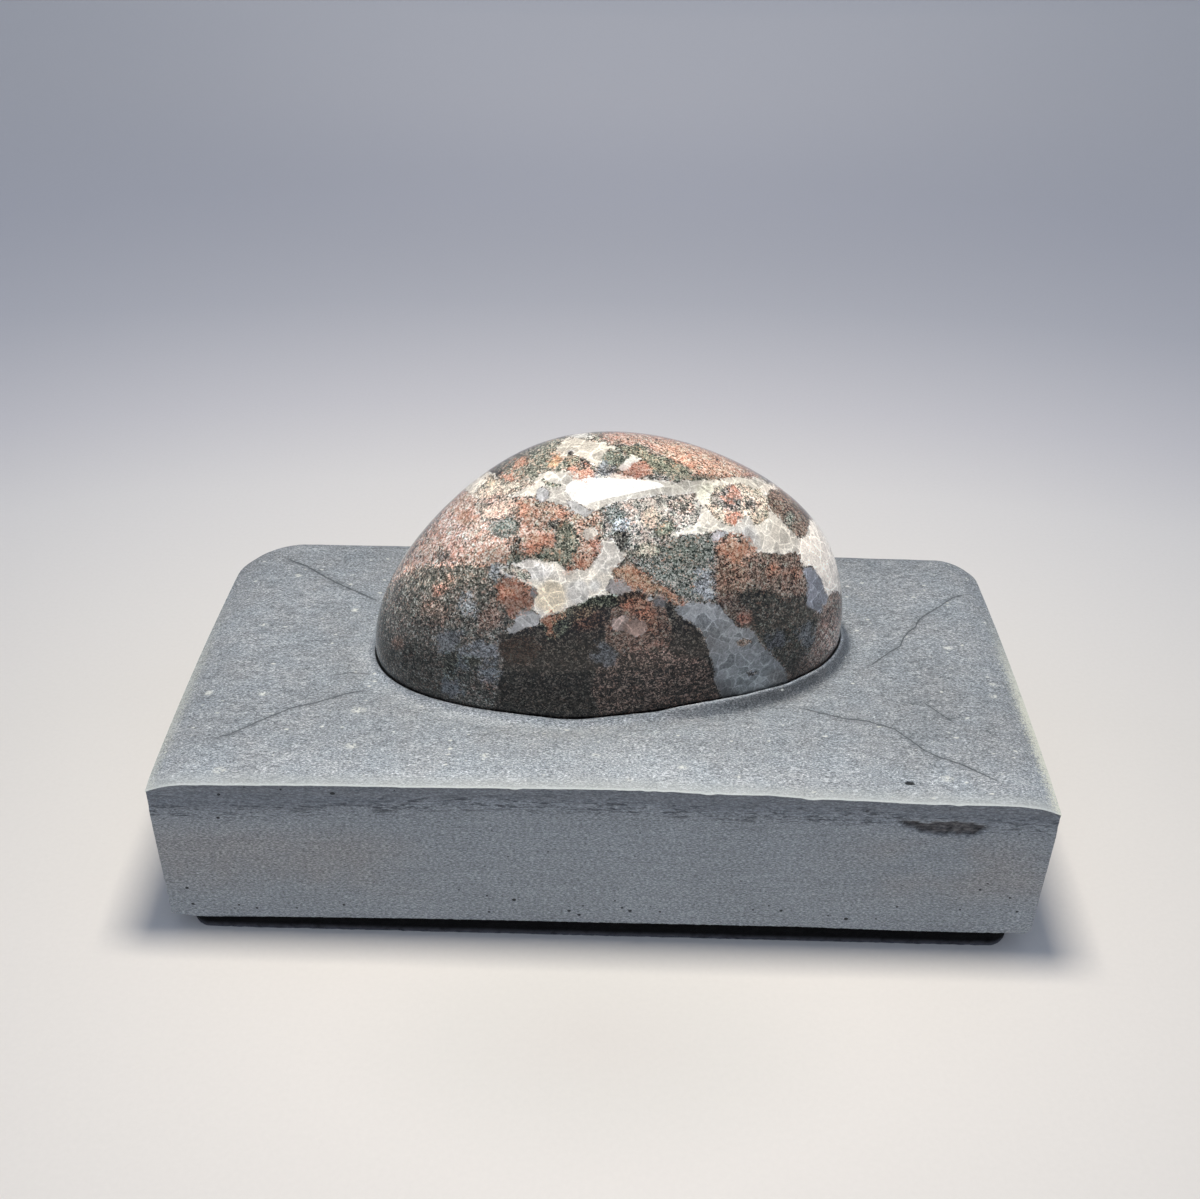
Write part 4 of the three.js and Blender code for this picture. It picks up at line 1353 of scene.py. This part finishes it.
def side_colour(graph, place, x, z, fine):
    """Smooth paste with faint level streaks, darker and torn under the upper edge."""
    streaks = graph.noise(graph.scaled(place, (0.04, 0.04, 1.0)), 0.7, 3.0, 0.6)
    scored = graph.noise(graph.scaled(place, (0.03, 0.03, 1.0)), 0.28, 2.0, 0.6)
    clouds = graph.noise(place, 14, 3.0)
    shading = graph.weighted((streaks, 0.34), (clouds, 0.24), (scored, 0.36))
    side = graph.tinted(graph.ramp(fine, SIDE_GRAINS), graph.plus(shading, 0.51))
    warm = graph.times(warm_stains(graph, x, z, clouds), 0.75)
    side = graph.mix(warm, side, graph.tinted(side, linear(WARM_TINT)))
    # The dark band, partly painted shade under the overhanging upper edge, reaches down to a ragged
    # ledge, with a torn line along it.
    over_ledge = graph.plus(graph.attribute("over_ledge"), graph.centred(streaks, 3.0))
    over_ledge = graph.plus(over_ledge, graph.centred(graph.noise(place, 1.6, 3.0), 0.8))
    band = graph.weighted((graph.span(over_ledge, -3.2, 1.6), 0.65),
                          (graph.span(over_ledge, -0.4, 0.4), 0.35))
    side = graph.painted(side, graph.times(band, 0.5), BAND_SHADE)
    thin = graph.noise(graph.scaled(place, (0.12, 0.12, 1.0)), 0.32, 3.0, 0.75)
    near_ledge = graph.span(graph.away_from(over_ledge, -0.6), 3.2, 0.2)
    torn = graph.times(graph.span(thin, 0.52, 0.6),
                       graph.greatest(near_ledge, graph.times(band, 0.4)))
    side = graph.painted(side, graph.times(torn, 0.8), TORN_SHADE)
    lit_ledge = graph.times(graph.span(graph.away_from(over_ledge, -0.35), 0.22, 0.0),
                            graph.span(graph.noise(place, 5.0, 2.0), 0.5, 0.62))
    side = graph.painted(side, graph.times(lit_ledge, 0.5), LEDGE_LIGHT)
    # Painted shade in small pits.
    pits = graph.voronoi(graph.warped(place, 0.5, 0.3), 1.5)
    pit_size = graph.times(graph.span(graph.cell_values(pits)[0], 0.6, 1.0),
                           graph.plus(graph.times(near_ledge, 0.14), 0.14))
    pit = graph.span(pits.outputs["Distance"], pit_size, graph.times(pit_size, 0.5))
    side = graph.painted(side, graph.times(pit, 0.7), PIT_SHADE)
    return graph.tinted(side, graph.attribute("tone"))


def crack_lines(graph, place):
    """Strength of the cracks: a dark line with a faint halo along each."""
    wander = graph.centred(graph.noise(place, 1.2, 4.0), 0.5)
    total = None
    for name, (width, _) in CRACKS.items():
        signed, strength, _ = graph.parts(graph.attribute("crack_" + name, "Color"))
        away = graph.math("ABSOLUTE", graph.plus(signed, wander))
        line = graph.times(graph.span(away, width, 0.0), strength)
        halo = graph.times(graph.span(away, 5 * width, 0.0), graph.times(strength, 0.22))
        line = graph.plus(graph.times(line, 0.75), halo)
        total = line if total is None else graph.greatest(total, line)
    return total


def all_holes(graph, place):
    """1 in the front's pinholes and in the top's bug hole."""
    pinholes = marks(graph, place, PINHOLES, 1, -HALF_DEPTH, 0.85, (0.75, 0.2, 0.9))
    from_hole = graph.shifted(place, tuple(-on_plane(BUG_HOLE, 2, BLOCK_TOP)))
    narrowing = (1 / BUG_HOLE_RADII[0], 1 / BUG_HOLE_RADII[1], 0.0)
    bug_hole = graph.span(graph.length(graph.scaled(from_hole, narrowing)), 1.05, 0.75)
    return graph.greatest(pinholes, bug_hole)


def concrete_material():
    graph = Graph("cast_concrete")
    place = graph.millimetres()
    x, y, z = graph.node("ShaderNodeSeparateXYZ", {0: place}).outputs
    on_top = graph.attribute("on_top")
    grain_place = graph.scaled(place, (0.42, 1.0, 1.0))
    grain = graph.plus(graph.noise(grain_place, 0.2, 2.0, 0.9),
                       graph.centred(graph.noise(grain_place, 1.0, 3.0), 0.16))
    fine = graph.noise(graph.scaled(place, (0.3, 0.3, 1.0)), 0.17, 2.0, 0.8)
    colour = graph.mix(on_top, side_colour(graph, place, x, z, fine),
                       top_colour(graph, place, x, y, grain))
    cracks = crack_lines(graph, place)
    holes = all_holes(graph, place)
    colour = graph.painted(colour, cracks, CRACK_SHADE)
    # Painted shade inside the pinholes and the bug hole.
    colour = graph.painted(colour, graph.times(holes, 0.92), HOLE_SHADE)
    broken = graph.noise(graph.scaled(place, (0.5, 1.0, 1.4)), 0.6, 4.0, 0.7)
    colour = graph.mix(graph.attribute("spall"), colour, graph.ramp(broken, BROKEN_GRAINS))
    height = graph.plus(graph.mix(on_top, fine, grain),
                        graph.times(graph.greatest(cracks, holes), -2.0))
    bump = graph.node("ShaderNodeBump", {"Height": height, "Strength": 0.35, "Distance": 0.0002})
    return graph.surface({"Base Color": colour, "Roughness": 0.8, "Normal": bump.outputs[0]})


def block_rings(azimuth):
    """Rings of points from the block's underside, up its wall, over its top, into the socket.

    Each ring comes with its distance past the socket's rim, or a large one below the top.
    """
    rim = rim_elevation(azimuth)
    seat = stone_points(azimuth, rim, SEAT_CLEARANCE)
    socket = np.hypot(seat[:, 0] - STONE_CENTRE[0], seat[:, 1] - STONE_CENTRE[1])
    side = distance_to_side(azimuth)
    edge = top_ring(azimuth, side, socket)
    under = edge.copy()
    under[:, :2] *= 1 - UNDER_INSET / np.linalg.norm(under[:, :2], axis=1)[:, None]
    under[:, 2] = PAD_THICKNESS
    rings = [(under, OFF_TOP)]
    for ring in range(SIDE_RINGS + 1):
        rings.append((wall_ring(edge, 1 - (1 - ring / SIDE_RINGS) ** 1.4), OFF_TOP))
    for ring in range(TOP_RINGS - 1, 0, -1):
        distance = mix(socket + LIP_ZONE, side, ring / TOP_RINGS)
        rings.append((top_ring(azimuth, distance, socket), distance - socket))
    for ring in range(LIP_RINGS, -1, -1):
        past = LIP_ZONE * (ring / LIP_RINGS) ** 1.6
        rings.append((top_ring(azimuth, socket + past, socket), past))
    sunk = rim - math.radians(1)
    for ring in range(SOCKET_RINGS, 0, -1):
        elevation = mix(-math.pi / 2, sunk, ring / SOCKET_RINGS)
        rings.append((stone_points(azimuth, elevation, SEAT_CLEARANCE), 0.0))
    points, past_socket = zip(*rings)
    return points, [np.broadcast_to(past, azimuth.shape) for past in past_socket]


def add_block():
    azimuth = outline_azimuths()
    rings, past_socket = block_rings(azimuth)
    underside = np.array([[STONE_CENTRE[0], STONE_CENTRE[1], PAD_THICKNESS]])
    pit = stone_points(np.array([0.0]), np.array([-math.pi / 2]), SEAT_CLEARANCE)
    points = np.concatenate([underside, *rings, pit])
    block = make_piece("cast_block", points, ring_faces(len(rings), len(azimuth)),
                       concrete_material())
    block.data.set_sharp_from_angle(angle=math.radians(50))

    edge_ring = 1 + SIDE_RINGS
    on_top = np.repeat(np.arange(len(rings)) >= edge_ring, len(azimuth)).astype(float)
    on_top = np.concatenate([[0.0], on_top, [1.0]])
    all_azimuths = np.concatenate([[0.0], np.tile(azimuth, len(rings)), [0.0]])
    past = np.concatenate([[OFF_TOP], *past_socket, [0.0]])
    spall = spall_depth(points) / SPALL_DEPTH * (points[:, 1] < -HALF_DEPTH + 2)
    set_attribute(block, "on_top", on_top)
    set_attribute(block, "over_ledge", over_ledge(points))
    # The top's tone carries painted light and painted shadow.
    set_attribute(block, "tone", np.where(on_top > 0, top_tone(points, all_azimuths, past), 1.0))
    set_attribute(block, "spall", np.clip(spall, 0, 1) * (1 - on_top))
    for name, (_, line) in CRACKS.items():
        signed, strength = crack_field(points, line)
        set_colour_attribute(block, "crack_" + name,
                             np.stack([signed, strength * on_top, 0 * signed], axis=1))
    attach(block, "root")
    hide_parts("concrete_block")


# ---- the felt pad

PAD_FRONT_INSET = 0.45
PAD_END_INSET = 2.6
PAD_CORNER_RADIUS = 4
PAD_SKEW = 0.0045  # the pad lies a little askew: its front is flush at the left end
PAD_STEP = 0.5
PAD_RINGS = 10
PAD_FUZZ = 0.22
PAD_WAVE = 0.06
PAD_EDGE_ROUNDING = 0.15
PAD_CORNER_POINTS = 26
PAD_GAP = 0.01  # keeps the pad's top clear of the block's underside
FELT_FIBRES = [(0.35, (5, 5, 6)), (0.55, (14, 14, 16)), (0.72, (34, 35, 38))]
FELT_FOOT_LIGHT = (92, 93, 100)


def pad_outline():
    """Points round the pad, with arcs at its corners, each with its outward direction."""
    half_length = HALF_LENGTH - PAD_END_INSET
    half_depth = HALF_DEPTH - PAD_FRONT_INSET
    arc_x, arc_y = half_length - PAD_CORNER_RADIUS, half_depth - PAD_CORNER_RADIUS
    points, outward = [], []
    for quarter, (side_x, side_y) in enumerate(((1, 1), (-1, 1), (-1, -1), (1, -1))):
        for turn in np.linspace(0, math.pi / 2, PAD_CORNER_POINTS):
            angle = quarter * math.pi / 2 + turn
            direction = np.array([math.cos(angle), math.sin(angle)])
            arc_centre = np.array([side_x * arc_x, side_y * arc_y])
            points.append(arc_centre + PAD_CORNER_RADIUS * direction)
            outward.append(direction)
    closed = np.array(points + points[:1])
    closed_outward = np.array(outward + outward[:1])
    steps = np.linalg.norm(np.diff(closed, axis=0), axis=1)
    travelled = np.concatenate([[0], np.cumsum(steps)])
    places = np.arange(0, travelled[-1], PAD_STEP)
    along, away = [np.stack([np.interp(places, travelled, values[:, axis]) for axis in (0, 1)],
                            axis=-1) for values in (closed, closed_outward)]
    return along, away / np.linalg.norm(away, axis=1)[:, None]


def felt_material():
    graph = Graph("black_felt")
    place = graph.millimetres()
    fibres = graph.noise(place, 0.35, 5.0, 0.75, 1.2)
    tufts = graph.noise(place, 1.8, 3.0, 0.6)
    colour = graph.ramp(graph.weighted((fibres, 0.7), (tufts, 0.3)), FELT_FIBRES)
    # Painted light: the felt is paler towards its foot, as its upper part lies in shade under the
    # block.
    _, _, z = graph.node("ShaderNodeSeparateXYZ", {0: place}).outputs
    lit_foot = graph.times(graph.span(z, 1.6, 0.0), graph.span(tufts, 0.1, 0.6))
    colour = graph.painted(colour, lit_foot, FELT_FOOT_LIGHT)
    bump = graph.node("ShaderNodeBump", {"Height": fibres, "Strength": 0.7, "Distance": 0.0003})
    return graph.surface({"Base Color": colour, "Roughness": 0.95, "Normal": bump.outputs[0],
                          "Specular IOR Level": 0.08, "Sheen Weight": 0.02, "Sheen Roughness": 0.5})


def add_pad():
    along, away = pad_outline()
    top = PAD_THICKNESS - PAD_GAP
    rings = []
    for ring in range(PAD_RINGS + 1):
        share = ring / PAD_RINGS
        rounding = PAD_EDGE_ROUNDING * abs(2 * share - 1) ** 6
        points = np.concatenate([along, np.full((len(along), 1), PAD_THICKNESS * share)], axis=1)
        fuzz = PAD_FUZZ * (0.5 + 0.5 * noise_at(points, 0.9, 81.0))
        fuzz = fuzz + PAD_WAVE * (1 + noise_at(points, 6, 83.0))
        points[:, :2] -= away * (fuzz + rounding)[:, None]
        points[:, 1] += PAD_SKEW * points[:, 0]
        points[:, 2] = np.clip(points[:, 2], 0.0, top)
        rings.append(points)
    points = np.concatenate([[[0.0, 0.0, 0.0]], *rings, [[0.0, 0.0, top]]])
    pad = make_piece("felt_underlay", points, ring_faces(len(rings), len(along)), felt_material())
    pad.data.set_sharp_from_angle(angle=math.radians(60))
    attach(pad, "root")
    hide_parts("felt_pad")


# ---- stage and lights

FLOOR_FLAT_RINGS = [100, 200, 300, 420]
FLOOR_SWEEP_RADIUS = 600
FLOOR_SWEEP_RINGS = 16
FLOOR_WALL_HEIGHT = 650
FLOOR_STEPS = 96
# Painted light on the paper: its brightness from the object's place outwards, as shares of
# FLOOR_TONE_REACH, stands in for how the lamps' light falls off.
FLOOR_TONE_MIDDLE = (0.0, 60.0, 0.0)
FLOOR_TONE_REACH = 900.0
FLOOR_LIGHT_FALL = [(0.0, (224, 219, 215)), (0.014, (227, 223, 219)), (0.03, (234, 229, 225)),
               (0.12, (231, 227, 223)), (0.21, (238, 235, 234)), (0.265, (233, 230, 233)),
               (0.357, (229, 227, 231)), (0.483, (240, 236, 238)), (0.636, (250, 244, 241)),
               (0.733, (253, 247, 243)), (0.85, (230, 230, 232)), (1.0, (210, 212, 216))]


def floor_material():
    graph = Graph("pale_paper")
    place = graph.millimetres()
    spread = graph.scaled(graph.shifted(place, FLOOR_TONE_MIDDLE), (0.6, 1.0, 1.0))
    reach = graph.span(graph.length(spread), 0.0, FLOOR_TONE_REACH, False)
    grain = graph.plus(graph.times(graph.noise(place, 0.9, 3.0, 0.6), 0.06), 0.97)
    colour = graph.tinted(graph.ramp(reach, FLOOR_LIGHT_FALL), grain)
    return graph.surface({"Base Color": colour, "Roughness": 0.9})


def add_stage():
    """A floor that sweeps up into a backdrop all round."""
    profile = [(radius, 0.0) for radius in FLOOR_FLAT_RINGS]
    flat_radius = FLOOR_FLAT_RINGS[-1]
    for ring in range(1, FLOOR_SWEEP_RINGS + 1):
        turn = math.pi / 2 * ring / FLOOR_SWEEP_RINGS
        profile.append((flat_radius + FLOOR_SWEEP_RADIUS * math.sin(turn),
                        FLOOR_SWEEP_RADIUS * (1 - math.cos(turn))))
    profile.append((flat_radius + FLOOR_SWEEP_RADIUS, FLOOR_WALL_HEIGHT))
    angle = np.linspace(0, math.tau, FLOOR_STEPS, endpoint=False)
    points = [(0, 0, 0)]
    for radius, height in profile:
        points += [(radius * math.cos(a), radius * math.sin(a), height) for a in angle]
    faces = [(0, 1 + step, 1 + (step + 1) % FLOOR_STEPS) for step in range(FLOOR_STEPS)]
    for ring in range(len(profile) - 1):
        for step in range(FLOOR_STEPS):
            following = (step + 1) % FLOOR_STEPS
            inner = 1 + ring * FLOOR_STEPS
            outer = inner + FLOOR_STEPS
            faces.append((inner + step, outer + step, outer + following, inner + following))
    make_piece("floor", points, faces, floor_material())


# Soft light: a lamp overhead, a wide weak one in front, a spot on the backdrop, and a panel that
# only the polish mirrors, with the highlight's rounded wedge for its outline.
AREA_LAMPS = {
    "overhead_lamp": {"place": (0, -8, 304), "target": (0, -8, 0), "size": (82, 60),
                      "power": 0.75, "colour": (1.06, 1.0, 0.885)},
    "front_lamp": {"place": (0, -620, 230), "target": (0, 0, 20), "size": (600, 300),
                   "power": 0.55, "colour": (0.9, 0.98, 1.08)},
}
BACKDROP_SPOT = {"place": (0, 300, 430), "target": (0, 700, 0), "power": 0.95,
                 "colour": (0.98, 0.98, 1.04)}
BACKDROP_CONE = 80  # degrees
BACKDROP_SPOT_SIZE = 100
PANEL_HEIGHT = 600
PANEL_OUTLINE = [(-217, 12), (-211, 64), (-190, 76), (-146, 70), (-43, 44), (58, 18), (153, 34),
                 (196, 28), (214, 1), (183, -54), (80, -158), (-18, -208), (-76, -230),
                 (-118, -204), (-149, -155), (-198, -56)]
PANEL_RADIANCE = 16.0
AMBIENT = (0.236, 0.28, 0.36)


def add_lamp(name, light, lamp):
    light.energy = lamp["power"]
    light.color = lamp["colour"]
    holder = bpy.data.objects.new(name, light)
    aim = Vector(lamp["target"]) - Vector(lamp["place"])
    turn = aim.to_track_quat("-Z", "Y").to_matrix().to_4x4()
    holder.matrix_world = Matrix.Translation(Vector(lamp["place"]) * MM) @ turn
    holder.visible_camera = False
    holder.visible_glossy = False
    bpy.context.scene.collection.objects.link(holder)


def add_lamps():
    for name, lamp in AREA_LAMPS.items():
        light = bpy.data.lights.new(name, "AREA")
        light.shape = "RECTANGLE"
        light.size, light.size_y = (side * MM for side in lamp["size"])
        add_lamp(name, light, lamp)
    spot_light = bpy.data.lights.new("backdrop_spot", "SPOT")
    spot_light.spot_size = math.radians(BACKDROP_CONE)
    spot_light.spot_blend = 1.0
    spot_light.shadow_soft_size = BACKDROP_SPOT_SIZE * MM
    add_lamp("backdrop_spot", spot_light, BACKDROP_SPOT)


def add_panel():
    graph = Graph("softbox_panel")
    glow = graph.node("ShaderNodeEmission", {"Color": (1, 1, 1, 1), "Strength": PANEL_RADIANCE})
    graph.tree.links.new(glow.outputs[0], graph.output.inputs[0])
    corners = [(x, y, PANEL_HEIGHT) for x, y in PANEL_OUTLINE]
    face = tuple(range(len(corners)))
    panel = make_piece("softbox_panel", corners, [face], graph.material, smooth=False)
    panel.visible_camera = False
    panel.visible_diffuse = False
    panel.visible_shadow = False


def add_lights():
    add_lamps()
    add_panel()
    world = bpy.data.worlds.new("room")
    world.use_nodes = True
    background = world.node_tree.nodes["Background"]
    background.inputs["Color"].default_value = (*AMBIENT, 1.0)
    background.inputs["Strength"].default_value = 1.0
    bpy.context.scene.world = world


# ---- the scene

add_camera()
add_cobble()
add_block()
add_pad()
add_stage()
add_lights()
bpy.context.scene.view_settings.view_transform = "Standard"
